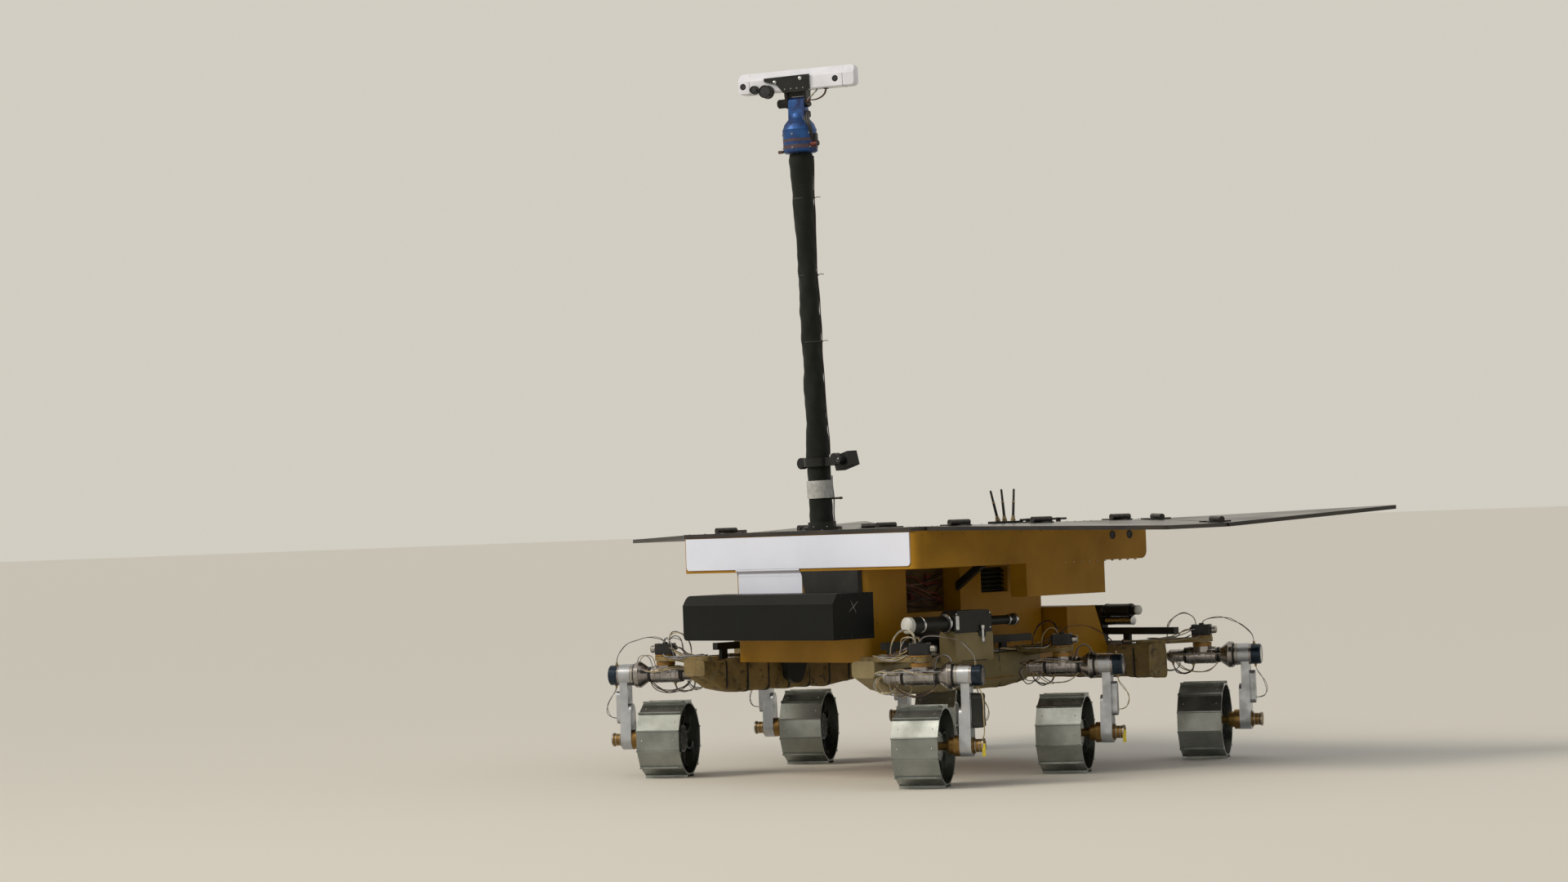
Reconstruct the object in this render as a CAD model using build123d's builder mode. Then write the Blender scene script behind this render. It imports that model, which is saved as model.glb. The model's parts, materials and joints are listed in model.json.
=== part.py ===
from build123d import *
from math import cos, pi, radians, sin, tan
import os

# A six-wheeled planetary rover with its mast up and its solar wings out, in millimetres.
# +Z is up, the front faces -Y and +X is the rover's left side. The origin is on the ground,
# under the middle of the whole vehicle.

# Stations along the vehicle: heights are measured from the ground, the rest from the middle axle
middle_y = -62.3
front_y = middle_y - 613
rear_y = middle_y + 637
side_x = 575
rear_side_x = 588
crab_angle = 31.5

# Wheels
wheel_radius = 125
wheel_width = 140
lug_count = 12
lug_thickness = 4
rim_corner_radius = 118
rim_bore_radius = 110
hub_radius = 42
hub_length = 100
spring_count = 8
spring_width = 92
leaf_centre = 76
leaf_radius = 38
leaf_thickness = 3
axle_z = wheel_radius * cos(radians(180 / lug_count)) + lug_thickness / 2 * sin(radians(180 / lug_count))

# Legs and their drives, measured outboard from the wheel's middle
walk_z = 327
walk_inner = -113
leg_inner = 115
leg_thickness = 35
leg_top_radius = 34
leg_foot_radius = 32
guard_depth = 16
shaft_radius = 18
cap_radius = 31
axle_radius = 12
spindle_radius = 20
running_gap = 0.1

# Bogies
beam_bottom = 270
beam_top = 370
beam_inner = 335
beam_outer = 425
arm_thickness = 14
arm_radius = 34
bearing_top = 390
motor_block = (62, 42, 34)
pivot_x = 466
pivot_y = middle_y - 306
rail_size = 22
rail_z = 413
rear_rail_length = 1290

# Hull
tub_half_width = 294.5
tub_front = middle_y - 558
tub_rear = middle_y + 225
tub_bottom = 363
tub_top = 643
box_half_width = 526.5
box_front = middle_y - 569
box_rear = middle_y + 458
box_top = 755
box_wall = 6
hull_corner_radius = 23
box_rear_radius = 25
plate_thickness = 4

# Solar array
panel_thickness = 12
panel_top = box_top + panel_thickness
hinge_x = 526
hinge_radius = 9
hinge_z = panel_top + hinge_radius + 0.5
wing_front_inner = middle_y - 520
wing_tip = (1200, middle_y - 209)
fold_outer = (1160, middle_y + 110)
fold_inner = (541, middle_y + 441)
rear_tip = (1200, middle_y + 894)
rear_wing_tilt = 3
wing_droop = {1: 1.8, -1: 0.9}

# Mast and head
mast_x = -35
mast_y = middle_y - 416
mast_lean = 1.7
mast_foot_z = panel_top
mast_top = 1942
neck_top = 2065
tilt_z = 2100
camera_bar_z = 2170
camera_bar_length = 382
head_turn = 27

# Drill box on its swing joint
drill_left = -326
drill_right = 352
drill_front = middle_y - 750
drill_back = middle_y - 582
drill_bottom = 439
drill_top = 577
drill_pivot = (158, 507)

corners = {
    "front_left": (side_x, front_y),
    "front_right": (-side_x, front_y),
    "middle_left": (side_x, middle_y),
    "middle_right": (-side_x, middle_y),
    "rear_left": (rear_side_x, rear_y),
    "rear_right": (-rear_side_x, rear_y),
}

os.makedirs("parts", exist_ok=True)


def save(part, name):
    part.label = name
    export_step(part, f"parts/{name}.step")


def side_of(x):
    return 1 if x > 0 else -1


def corner_plane(x, y):
    """The ground under a steering axis, with x running outboard along the wheel's axle."""
    side = side_of(x)
    angle = radians(crab_angle)
    return Plane(origin=(x, y, 0), x_dir=(side * cos(angle), side * sin(angle), 0), z_dir=(0, 0, 1))


def across(base, outboard, height=0):
    """An upright plane across the axle: its x runs fore and aft and its y runs up."""
    return Plane(origin=base.from_local_coords((outboard, 0, height)), x_dir=base.y_dir, z_dir=base.x_dir)


def along(base, height):
    """An upright plane along the axle: its x runs outboard and its y runs up."""
    return Plane(origin=base.from_local_coords((0, 0, height)), x_dir=base.x_dir, z_dir=-base.y_dir)


def turned(plane, stations):
    """A round piece about the plane's x axis, from stations of (place along the axis, radius)."""
    ends = [(stations[0][0], 0), (stations[-1][0], 0)]
    with BuildPart(mode=Mode.PRIVATE) as piece:
        with BuildSketch(plane):
            with BuildLine():
                Polyline(ends[0], *stations, ends[1], close=True)
            make_face()
        revolve(axis=Axis(plane.origin, plane.x_dir))
    return piece.part


# Wheels: a faceted rim with lugs at its corners, carried on curved leaf springs
def build_wheel(base):
    with BuildSketch() as leaf:
        with Locations((leaf_centre, 0)):
            Circle(leaf_radius)
            Circle(leaf_radius - leaf_thickness, mode=Mode.SUBTRACT)
        with Locations((leaf_centre, leaf_radius / 2)):
            Rectangle(2 * leaf_radius, leaf_radius, mode=Mode.INTERSECT)
        Circle(rim_bore_radius + 1, mode=Mode.INTERSECT)
        Circle(hub_radius - 1, mode=Mode.SUBTRACT)
    centre = across(base, 0, axle_z)
    lug_inner = rim_bore_radius + 4
    with BuildPart() as wheel:
        with BuildSketch(centre.offset(-wheel_width / 2)):
            RegularPolygon(rim_corner_radius, lug_count, rotation=180 / lug_count)
            with PolarLocations((lug_inner + wheel_radius) / 2, lug_count, start_angle=180 / lug_count):
                Rectangle(wheel_radius - lug_inner, lug_thickness)
            Circle(rim_bore_radius, mode=Mode.SUBTRACT)
        extrude(amount=wheel_width)
        with BuildSketch(centre.offset(-spring_width / 2)):
            with PolarLocations(0, spring_count):
                add(leaf.sketch)
        extrude(amount=spring_width)
        with BuildSketch(centre.offset(-hub_length / 2)):
            Circle(hub_radius)
        extrude(amount=hub_length)
        with BuildSketch(centre.offset(-axle_radius)):
            Circle(axle_radius + running_gap)
        extrude(amount=hub_length, mode=Mode.SUBTRACT)
    return wheel.part


# Walking drive: the long barrel under the steering spindle, with the black cap outside the leg
def build_walk_drive(base):
    leg_outer = leg_inner + leg_thickness
    stations = [
        (walk_inner, 13), (-106, 17), (-104, 20), (-60, 20), (-58, 24), (-50, 24), (-48, 27), (44, 27),
        (46, 23), (58, 23), (76, 36), (84, 41), (98, 41), (98, 34), (leg_inner, 34),
        (leg_inner, shaft_radius), (leg_outer, shaft_radius), (leg_outer, cap_radius + 2),
        (leg_outer + 7, cap_radius + 2), (leg_outer + 7, cap_radius), (leg_outer + 33, cap_radius),
        (leg_outer + 37, cap_radius - 5),
    ]
    with BuildPart() as drive:
        add(turned(along(base, walk_z), stations))
        with BuildSketch(base.offset(walk_z)):
            Circle(29)
        extrude(amount=beam_top - 5 - walk_z)
        with BuildSketch(base.offset(walk_z)):
            Circle(spindle_radius)
        extrude(amount=beam_top + arm_thickness + 10 - walk_z)
    return drive.part


# Leg: a crank with an eye for each drive, a thicker lower half and a cable guard outside
def build_leg(base):
    web_radius = 25
    step_z = 236
    upper_inset = 9
    with BuildPart() as leg:
        with BuildSketch(across(base, leg_inner)):
            with Locations((0, walk_z)):
                Circle(leg_top_radius)
        extrude(amount=leg_thickness)
        with BuildSketch(across(base, leg_inner + upper_inset)):
            with Locations((0, walk_z), (0, axle_z)):
                Circle(web_radius)
            make_hull()
        extrude(amount=leg_thickness - upper_inset)
        with BuildSketch(across(base, leg_inner)):
            with Locations((0, axle_z)):
                Circle(leg_foot_radius)
            with Locations((0, step_z - web_radius)):
                Circle(web_radius)
            make_hull()
        extrude(amount=leg_thickness)
        with BuildSketch(across(base, leg_inner + leg_thickness)):
            with Locations((0, (walk_z + axle_z) / 2)):
                SlotOverall(104, 30, rotation=90)
        extrude(amount=guard_depth)
        with BuildSketch(across(base, leg_inner)):
            with Locations((0, walk_z), (0, axle_z)):
                Circle(shaft_radius)
        extrude(amount=leg_thickness, mode=Mode.SUBTRACT)
    return leg.part


# Wheel drive: gearbox inside the leg, axle into the hub and a bare motor outside
def build_wheel_drive(base):
    leg_outer = leg_inner + leg_thickness
    gearbox = wheel_width / 2 + 6
    stations = [
        (0, axle_radius), (gearbox, axle_radius), (gearbox, 22), (gearbox + 4, 25), (96, 25), (96, 31),
        (leg_inner, 31), (leg_inner, shaft_radius), (leg_outer, shaft_radius), (leg_outer, 24),
        (leg_outer + 5, 24), (leg_outer + 5, 19), (leg_outer + 28, 19), (leg_outer + 28, 21),
        (leg_outer + 34, 21),
    ]
    return turned(along(base, axle_z), stations)


for corner, (x, y) in corners.items():
    base = corner_plane(x, y)
    save(build_wheel(base), f"wheel_{corner}")
    save(build_walk_drive(base), f"walk_drive_{corner}")
    save(build_leg(base), f"leg_{corner}")
    save(build_wheel_drive(base), f"wheel_drive_{corner}")

# Steering motors: a bearing housing on each arm, under the motor's square cover
with BuildPart() as steer_motors:
    for x, y in corners.values():
        base = corner_plane(x, y)
        floor = beam_top + arm_thickness
        block_length, block_width, block_height = motor_block
        with BuildSketch(base.offset(floor)):
            Circle(arm_radius - 2)
        extrude(amount=bearing_top - floor)
        with BuildSketch(base.offset(bearing_top)):
            RectangleRounded(block_length, block_width, 7)
        extrude(amount=block_height)
        add(turned(along(base, bearing_top + block_height / 2), [(26, 10), (45, 10), (48, 7)]))
        with BuildSketch(base.offset(floor)):
            Circle(spindle_radius + running_gap)
        extrude(amount=12, mode=Mode.SUBTRACT)
save(steer_motors.part, "steer_motors")


# Side bogies: a deep beam with an arm at each end that reaches out over a wheel
def build_bogie(side):
    beam_front = middle_y - 660
    beam_rear = middle_y + 50
    beam_x = side * (beam_inner + beam_outer) / 2
    with BuildPart() as bogie:
        with BuildSketch(Plane.YZ.offset(beam_x - (beam_outer - beam_inner) / 2)):
            with BuildLine():
                Polyline(
                    (beam_front, beam_top),
                    (beam_front, beam_top - 44),
                    (beam_front + 70, beam_bottom + 14),
                    (beam_front + 150, beam_bottom),
                    (beam_rear - 150, beam_bottom),
                    (beam_rear - 60, beam_bottom + 14),
                    (beam_rear, beam_top - 44),
                    (beam_rear, beam_top),
                    close=True,
                )
            make_face()
        extrude(amount=beam_outer - beam_inner)
        fillet(bogie.edges().filter_by(Axis.Y).group_by(Axis.Z)[0], 14)
        for arm_y in (front_y, middle_y):
            with BuildSketch(Plane.XY.offset(beam_top)):
                with Locations((side * (beam_inner + arm_radius), arm_y), (side * side_x, arm_y)):
                    Circle(arm_radius)
                make_hull()
                with Locations((side * side_x, arm_y)):
                    Circle(spindle_radius + running_gap, mode=Mode.SUBTRACT)
            extrude(amount=arm_thickness)
            with BuildSketch(Plane.XZ.offset(-arm_y)):
                with BuildLine():
                    Polyline(
                        (side * beam_outer, beam_top),
                        (side * (side_x - arm_radius - 10), beam_top),
                        (side * beam_outer, beam_top - 13),
                        close=True,
                    )
                make_face()
            extrude(amount=5, both=True)
    return bogie.part


save(build_bogie(1), "bogie_left")
save(build_bogie(-1), "bogie_right")

# Rear bogie: the beam runs across and its arms reach back
rear_beam_y = middle_y + 450
rear_beam_half_length = 560
with BuildPart() as rear_bogie:
    with BuildSketch(Plane.YZ.offset(-rear_beam_half_length)):
        with Locations((rear_beam_y, (beam_bottom + beam_top) / 2)):
            RectangleRounded(80, beam_top - beam_bottom, 10)
    extrude(amount=2 * rear_beam_half_length)
    for side in (-1, 1):
        with BuildSketch(Plane.XY.offset(beam_top)):
            with Locations((side * 520, rear_beam_y), (side * rear_side_x, rear_y)):
                Circle(arm_radius)
            make_hull()
            with Locations((side * rear_side_x, rear_y)):
                Circle(spindle_radius + running_gap, mode=Mode.SUBTRACT)
        extrude(amount=arm_thickness)
save(rear_bogie.part, "bogie_rear")

# Slim rails above the beams, each on three posts
rail_x = (beam_inner + beam_outer) / 2
with BuildPart() as rails:
    for side in (-1, 1):
        with Locations((side * rail_x, middle_y - 257, rail_z)):
            Box(rail_size, 634, rail_size)
        for post_y in (-540, -306, -60):
            with Locations((side * rail_x, middle_y + post_y, (beam_top + rail_z) / 2)):
                Box(14, 24, rail_z - beam_top)
    with Locations((0, rear_beam_y, rail_z)):
        Box(rear_rail_length, rail_size, rail_size)
    for post_x in (-440, 0, 440):
        with Locations((post_x, rear_beam_y, (beam_top + rail_z) / 2)):
            Box(24, 14, rail_z - beam_top)
save(rails.part, "rails")


# Bogie pivots: a hanger and pivot axle under the hull, and a drive block with two barrels above
def pivot_drive(plane):
    """The block and its two barrels: the plane's x runs along them and its y runs up."""
    with BuildPart(mode=Mode.PRIVATE) as drive:
        with BuildSketch(plane.offset(-31)):
            Rectangle(160, 96)
        extrude(amount=62)
        vertical = drive.edges().filter_by(Axis(plane.origin, plane.z_dir))
        chamfer(vertical.sort_by(Axis.Z)[-2:], 14)
        high = Plane(origin=plane.from_local_coords((0, 12, 0)), x_dir=plane.x_dir, z_dir=plane.z_dir)
        add(turned(high, [(-80, 24), (-84, 27), (-94, 27), (-96, 22), (-190, 22)]))
        add(turned(high, [(-190, 18), (-196, 24), (-246, 24), (-256, 15)]))
        add(turned(high, [(80, 14), (188, 14), (188, 17), (214, 17), (222, 11)]))
    return drive.part


with BuildPart() as pivots:
    for side in (-1, 1):
        hanger = Plane(origin=(side * tub_half_width, pivot_y, 0), x_dir=(0, side, 0), z_dir=(side, 0, 0))
        with BuildSketch(hanger):
            with Locations((0, 318), (-40, 430), (40, 430)):
                Circle(34)
            make_hull()
        extrude(amount=22)
        with BuildSketch(hanger.offset(22)):
            with Locations((0, 318)):
                Circle(26)
        extrude(amount=beam_inner - tub_half_width - 22)
        with Locations((side * (beam_outer + pivot_x + 31) / 2, pivot_y, 386)):
            Box(pivot_x + 31 - beam_outer, 110, 58)
        add(pivot_drive(Plane(origin=(side * pivot_x, pivot_y, 462), x_dir=(0, 1, 0), z_dir=(1, 0, 0))))
    with BuildSketch(Plane.XY.offset(beam_top)):
        with Locations((292, rear_beam_y + 26)):
            Rectangle(60, 28)
    extrude(amount=125)
    across_rear = Plane(origin=(0, rear_beam_y + 26, 478), x_dir=(1, 0, 0), z_dir=(0, -1, 0))
    add(turned(across_rear, [(322, 17), (330, 20), (440, 20), (440, 15), (468, 15), (474, 9)]))
    low_rear = Plane(origin=(0, rear_beam_y + 30, 444), x_dir=(1, 0, 0), z_dir=(0, -1, 0))
    add(turned(low_rear, [(322, 13), (440, 13)]))
save(pivots.part, "bogie_pivots")

# Hull: the tub with a wiring bay and a vent in each side, a strut on each side, and the wide box over it
bay_depth = 75
vent_depth = 30
with BuildPart() as tub:
    with BuildSketch(Plane.XY.offset(tub_bottom)):
        with Locations((0, (tub_front + tub_rear) / 2)):
            RectangleRounded(2 * tub_half_width, tub_rear - tub_front, hull_corner_radius)
    extrude(amount=tub_top - tub_bottom)
    for side in (-1, 1):
        with Locations((side * tub_half_width, middle_y + 2, 594)):
            Box(2 * vent_depth, 120, 78, mode=Mode.SUBTRACT)
        with Locations((side * tub_half_width, middle_y - 268, 571)):
            Box(2 * bay_depth, 234, 132, mode=Mode.SUBTRACT)
save(tub.part, "tub")

with BuildPart() as deck_struts:
    for side in (-1, 1):
        with BuildSketch(Plane.XZ.offset(-(middle_y - 163))):
            with BuildLine():
                Polyline(
                    (side * tub_half_width, 566),
                    (side * tub_half_width, 592),
                    (side * (tub_half_width + 84), tub_top),
                    (side * (tub_half_width + 124), tub_top),
                    close=True,
                )
            make_face()
        extrude(amount=8, both=True)
save(deck_struts.part, "deck_struts")


def rounded_box(inset):
    """The box's outer form, or with an inset the space between its walls."""
    with BuildPart(mode=Mode.PRIVATE) as form:
        with BuildSketch(Plane.YZ.offset(inset - box_half_width)):
            with Locations(((box_front + box_rear) / 2, (tub_top + box_top) / 2)):
                Rectangle(box_rear - box_front - 2 * inset, box_top - tub_top - 2 * inset)
        extrude(amount=2 * (box_half_width - inset))
        fillet(form.edges().filter_by(Axis.X).group_by(Axis.Z)[0].sort_by(Axis.Y)[-1], box_rear_radius - inset)
        fillet(form.edges().filter_by(Axis.Z).group_by(Axis.Y)[0], hull_corner_radius - inset)
    return form.part


side_hole_y = (middle_y + 301, middle_y + 381)
side_hole_z = 720
side_hole_radius = 8
with BuildPart() as deck_box:
    add(rounded_box(0))
    add(rounded_box(box_wall), mode=Mode.SUBTRACT)
    for side in (-1, 1):
        wall = Plane(origin=(side * box_half_width, 0, 0), x_dir=(0, side, 0), z_dir=(side, 0, 0))
        with BuildSketch(wall):
            with Locations(*[(side * y, side_hole_z) for y in side_hole_y]):
                Circle(side_hole_radius)
        extrude(amount=-box_wall, mode=Mode.SUBTRACT)
save(deck_box.part, "deck_box")

# Plates on the front of the hull
with BuildPart() as upper_plate:
    with BuildSketch(Plane.XZ.offset(-box_front)):
        with Locations((0, 702)):
            Rectangle(1009, 100)
    extrude(amount=plate_thickness)
    lower_corners = upper_plate.edges().filter_by(Axis.Y).group_by(Axis.Z)[0]
    fillet(lower_corners, 12)
save(upper_plate.part, "front_plate_upper")

with BuildPart() as lower_plate:
    with BuildSketch(Plane.XZ.offset(-tub_front)):
        with Locations((-126, 604)):
            Rectangle(292, 74)
    extrude(amount=plate_thickness)
save(lower_plate.part, "front_plate_lower")

# Pods under the box's overhang and the carrier of the rear bogie
pod_width = 69
pod_length = 354
pod_bottom = 542
with BuildPart() as pods:
    for side in (-1, 1):
        with BuildSketch(Plane.YZ.offset(side * (box_half_width - 1 - pod_width / 2) - pod_width / 2)):
            with Locations((middle_y + 82, (pod_bottom + tub_top) / 2)):
                Rectangle(pod_length, tub_top - pod_bottom)
        extrude(amount=pod_width)
save(pods.part, "side_pods")

carrier_half_width = 391
carrier_top = 499
with BuildPart() as rear_carrier:
    with BuildSketch(Plane.YZ.offset(-carrier_half_width)):
        with BuildLine():
            Polyline(
                (tub_rear, carrier_top),
                (middle_y + 354, carrier_top),
                (middle_y + 404, beam_top),
                (rear_beam_y - 40, beam_top),
                (rear_beam_y - 40, 320),
                (middle_y + 330, 320),
                (tub_rear, tub_bottom),
                close=True,
            )
        make_face()
    extrude(amount=2 * carrier_half_width)
save(rear_carrier.part, "rear_carrier")

# Drill mount: the positioner on the hull, the boss of the swing joint and an end bracket
positioner_depth = 18
drill_axle_radius = 14
drill_axle_length = 58
with BuildPart() as drill_mount:
    with BuildSketch(Plane.XZ.offset(-tub_front)):
        with BuildLine():
            Polyline((47, 568), (33, tub_top), (282, tub_top), (282, 568), close=True)
        make_face()
    extrude(amount=positioner_depth)
    with BuildSketch(Plane.XZ.offset(-tub_front)):
        with Locations(drill_pivot, (drill_pivot[0], 590)):
            Circle(42)
        make_hull()
    extrude(amount=positioner_depth - 4)
    with BuildSketch(Plane.XZ.offset(-tub_front)):
        with Locations(drill_pivot):
            Circle(34)
    extrude(amount=positioner_depth)
    with BuildSketch(Plane.XZ.offset(-tub_front)):
        with Locations(drill_pivot):
            Circle(drill_axle_radius)
    extrude(amount=drill_axle_length)
save(drill_mount.part, "drill_mount")

# Drill box: bevelled along its top front edge, with rounded corners at its right end
bevel_height = 30
bevel_depth = 20
drill_corner_radius = 14
with BuildPart() as drill_box:
    with BuildSketch(Plane.YZ.offset(drill_left)):
        with BuildLine():
            Polyline(
                (drill_back, drill_bottom),
                (drill_front, drill_bottom),
                (drill_front, drill_top - bevel_height),
                (drill_front + bevel_depth, drill_top),
                (drill_back, drill_top),
                close=True,
            )
        make_face()
    extrude(amount=drill_right - drill_left)
    with BuildSketch(Plane.XZ.offset(-drill_back)) as front_view:
        with Locations(((drill_left + drill_right) / 2, (drill_bottom + drill_top) / 2)):
            Rectangle(drill_right - drill_left, drill_top - drill_bottom)
        fillet(front_view.vertices().group_by(Axis.X)[0], drill_corner_radius)
    extrude(amount=drill_back - drill_front, mode=Mode.INTERSECT)
    with BuildSketch(Plane.XZ.offset(-drill_back)):
        with Locations(drill_pivot):
            Circle(drill_axle_radius + running_gap)
    extrude(amount=40, mode=Mode.SUBTRACT)
save(drill_box.part, "drill_box")


# Solar array: a fixed panel on the box, a wing on each side and a rear wing hinged to each
def hinge_spans(length, knuckles=3, play=1):
    """Centres and length of the knuckles that share a hinge of this length."""
    pitch = length / knuckles
    return [(i - (knuckles - 1) / 2) * pitch for i in range(knuckles)], pitch - play


def knuckle(plane, centre, length, pin):
    """A barrel on the plane's x axis with a hole for the pin, or with the pin itself."""
    with BuildPart(mode=Mode.PRIVATE) as barrel:
        with BuildSketch(Plane(origin=plane.from_local_coords((centre, 0, 0)), z_dir=plane.x_dir)):
            Circle(hinge_radius)
            if not pin:
                Circle(3 + running_gap, mode=Mode.SUBTRACT)
        extrude(amount=length / 2, both=True)
    return barrel.part


def hinge_half(plane, stations, outer, leaf_sign):
    """One side's leaves and knuckles at each station along the hinge line."""
    centres, length = hinge_spans(84)
    with BuildPart(mode=Mode.PRIVATE) as half:
        for station in stations:
            used = (centres[0], centres[2]) if outer else (centres[1],)
            for centre in used:
                add(knuckle(plane, station + centre, length, outer))
                with BuildSketch(plane.offset(panel_top - hinge_z)):
                    with Locations((station + centre, leaf_sign * 20)):
                        Rectangle(length, 40)
                extrude(amount=4)
            if not outer:
                with BuildSketch(Plane(origin=plane.from_local_coords((station + centres[1], 0, 0)),
                                       z_dir=plane.x_dir)):
                    Circle(3 + running_gap)
                extrude(amount=length, both=True, mode=Mode.SUBTRACT)
            if outer:
                with BuildSketch(Plane(origin=plane.from_local_coords((station, 0, 0)), z_dir=plane.x_dir)):
                    Circle(3)
                extrude(amount=40, both=True)
    return half.part


wing_hinge_stations = (middle_y - 380, middle_y - 20, middle_y + 340)


def wing_hinge_plane(side):
    """On the hinge line between the fixed panel and a wing: x runs aft, y runs inboard on the left."""
    return Plane(origin=(side * hinge_x, 0, hinge_z), x_dir=(0, 1, 0), z_dir=(0, 0, 1))


with BuildPart() as deck_panel:
    with BuildSketch(Plane.XY.offset(box_top)):
        with Locations((0, middle_y - 52.5)):
            RectangleRounded(2 * hinge_x - 4, 1045, 20)
    extrude(amount=panel_thickness)
    for side in (-1, 1):
        add(hinge_half(wing_hinge_plane(side), wing_hinge_stations, True, side))
save(deck_panel.part, "deck_panel")


def mirrored(points, side):
    return [(side * x, y) for x, y in points]


def drooped(part, side):
    """A wing turned down about its hinge line by as much as it hangs at rest."""
    return part.rotate(Axis((side * hinge_x, 0, hinge_z), (0, 1, 0)), side * wing_droop[side])


fold_direction = Vector(fold_outer[0] - fold_inner[0], fold_outer[1] - fold_inner[1], 0).normalized()
fold_normal = Vector(-fold_direction.Y, fold_direction.X, 0)
fold_length = Vector(fold_outer[0] - fold_inner[0], fold_outer[1] - fold_inner[1], 0).length
fold_gap = 3


def fold_point(distance, off_line):
    """A point along the fold from its inner end, moved off the fold's line towards the rear wing."""
    x = fold_inner[0] + distance * fold_direction.X + off_line * fold_normal.X
    y = fold_inner[1] + distance * fold_direction.Y + off_line * fold_normal.Y
    return (x, y)


def fold_plane(side):
    """On the fold line of one side: x runs outboard along it and y runs to the rear wing."""
    direction = (side * fold_direction.X, fold_direction.Y, 0)
    return Plane(origin=(side * fold_inner[0], fold_inner[1], hinge_z), x_dir=direction, z_dir=(0, 0, 1))


fold_stations = (110, fold_length - 90)


def build_wing(side):
    outline = [(hinge_x + 3, wing_front_inner), wing_tip, fold_point(fold_length, -fold_gap)]
    outline += [fold_point(0, -fold_gap), (hinge_x + 3, fold_inner[1] - 2)]
    with BuildPart() as wing:
        with BuildSketch(Plane.XY.offset(box_top)):
            with BuildLine():
                Polyline(*mirrored(outline, side), close=True)
            make_face()
        extrude(amount=panel_thickness)
        fillet(wing.edges().filter_by(Axis.Z).group_by(Axis.X)[-1 if side > 0 else 0], 15)
        add(hinge_half(wing_hinge_plane(side), wing_hinge_stations, False, -side))
        add(hinge_half(fold_plane(side), fold_stations, True, -side))
    return drooped(wing.part, side)


def build_rear_wing(side):
    outline = [fold_point(40, fold_gap), fold_point(fold_length, fold_gap), rear_tip]
    with BuildPart() as rear_wing:
        with BuildSketch(Plane.XY.offset(box_top)):
            with BuildLine():
                Polyline(*mirrored(outline, side), close=True)
            make_face()
        extrude(amount=panel_thickness)
        fillet(rear_wing.edges().filter_by(Axis.Z).sort_by(Axis.Y)[-1], 15)
        add(hinge_half(fold_plane(side), fold_stations, False, side))
    axis_direction = (fold_direction.X, side * fold_direction.Y, 0)
    fold_axis = Axis((side * fold_inner[0], fold_inner[1], hinge_z), axis_direction)
    return drooped(rear_wing.part.rotate(fold_axis, rear_wing_tilt), side)


for side, name in ((1, "left"), (-1, "right")):
    save(build_wing(side), f"wing_{name}")
    save(build_rear_wing(side), f"rear_wing_{name}")

# Aerials on the deck
with BuildPart() as aerials:
    with Locations((0, middle_y + 370, panel_top + 4)):
        Box(40, 130, 8)
    for rod_y, lean in ((335, 9), (366, 0), (405, -6)):
        rod = Plane(origin=(0, middle_y + rod_y, panel_top + 8)).rotated((lean, 0, 0))
        with BuildSketch(rod):
            Circle(5)
        extrude(amount=105)
save(aerials.part, "aerials")

# Mast: foot, sleeved tube, tape collar, clamp and navigation camera, which lean a little to the front
mast_plane = Plane(origin=(mast_x, mast_y, 0), x_dir=(0, 0, 1), z_dir=(0, 1, 0))
foot_top = mast_foot_z + 26


def leaned(part):
    """A piece of the upright mast turned forward about the middle of its foot."""
    return part.rotate(Axis((mast_x, mast_y, mast_foot_z), (1, 0, 0)), mast_lean)


def on_head(part):
    """A piece of the head panned to where it looks, on the leaning mast."""
    return leaned(part.rotate(Axis((mast_x, mast_y, 0), (0, 0, 1)), head_turn))


with BuildPart() as mast_foot:
    add(turned(mast_plane, [(mast_foot_z, 62), (mast_foot_z + 10, 62)]))
    add(leaned(turned(mast_plane, [(mast_foot_z + 4, 44), (foot_top, 44)])))
save(mast_foot.part, "mast_foot")

sleeve = [
    (foot_top, 38), (980, 36), (1180, 31), (1700, 30), (1850, 36), (mast_top - 22, 39), (mast_top - 2, 34),
]
with BuildPart() as mast_tube:
    add(turned(mast_plane, sleeve))
save(leaned(mast_tube.part), "mast_tube")

with BuildPart() as mast_collar:
    with BuildSketch(Plane.XY.offset(867)):
        with Locations((mast_x, mast_y)):
            Circle(41)
            Circle(38, mode=Mode.SUBTRACT)
    extrude(amount=55)
save(leaned(mast_collar.part), "mast_collar")

with BuildPart() as mast_clamp:
    with BuildSketch(Plane.XY.offset(966)):
        with Locations((mast_x, mast_y)):
            Circle(46)
        with Locations((mast_x + 58, mast_y)):
            Rectangle(56, 30)
        with Locations((mast_x - 55, mast_y)):
            Rectangle(40, 22)
        with Locations((mast_x, mast_y)):
            Circle(37, mode=Mode.SUBTRACT)
    extrude(amount=26)
save(leaned(mast_clamp.part), "mast_clamp")

with BuildPart() as nav_camera:
    body = Plane(origin=(mast_x + 125, mast_y, 979)).rotated((0, -14, 0))
    with BuildSketch(body.offset(-22)):
        RectangleRounded(70, 44, 5)
    extrude(amount=44)
    with BuildSketch(Plane(origin=body.origin, x_dir=body.x_dir, z_dir=-body.y_dir)):
        with Locations((6, 0)):
            Circle(15)
    extrude(amount=34)
    with BuildSketch(Plane(origin=body.origin, x_dir=body.x_dir, z_dir=-body.y_dir)):
        with Locations((6, 0)):
            Circle(12)
    extrude(amount=42)
    with BuildSketch(Plane.YZ.offset(mast_x + 86)):
        with Locations((mast_y, 979)):
            Circle(9)
    extrude(amount=20)
save(leaned(nav_camera.part), "nav_camera")

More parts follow.
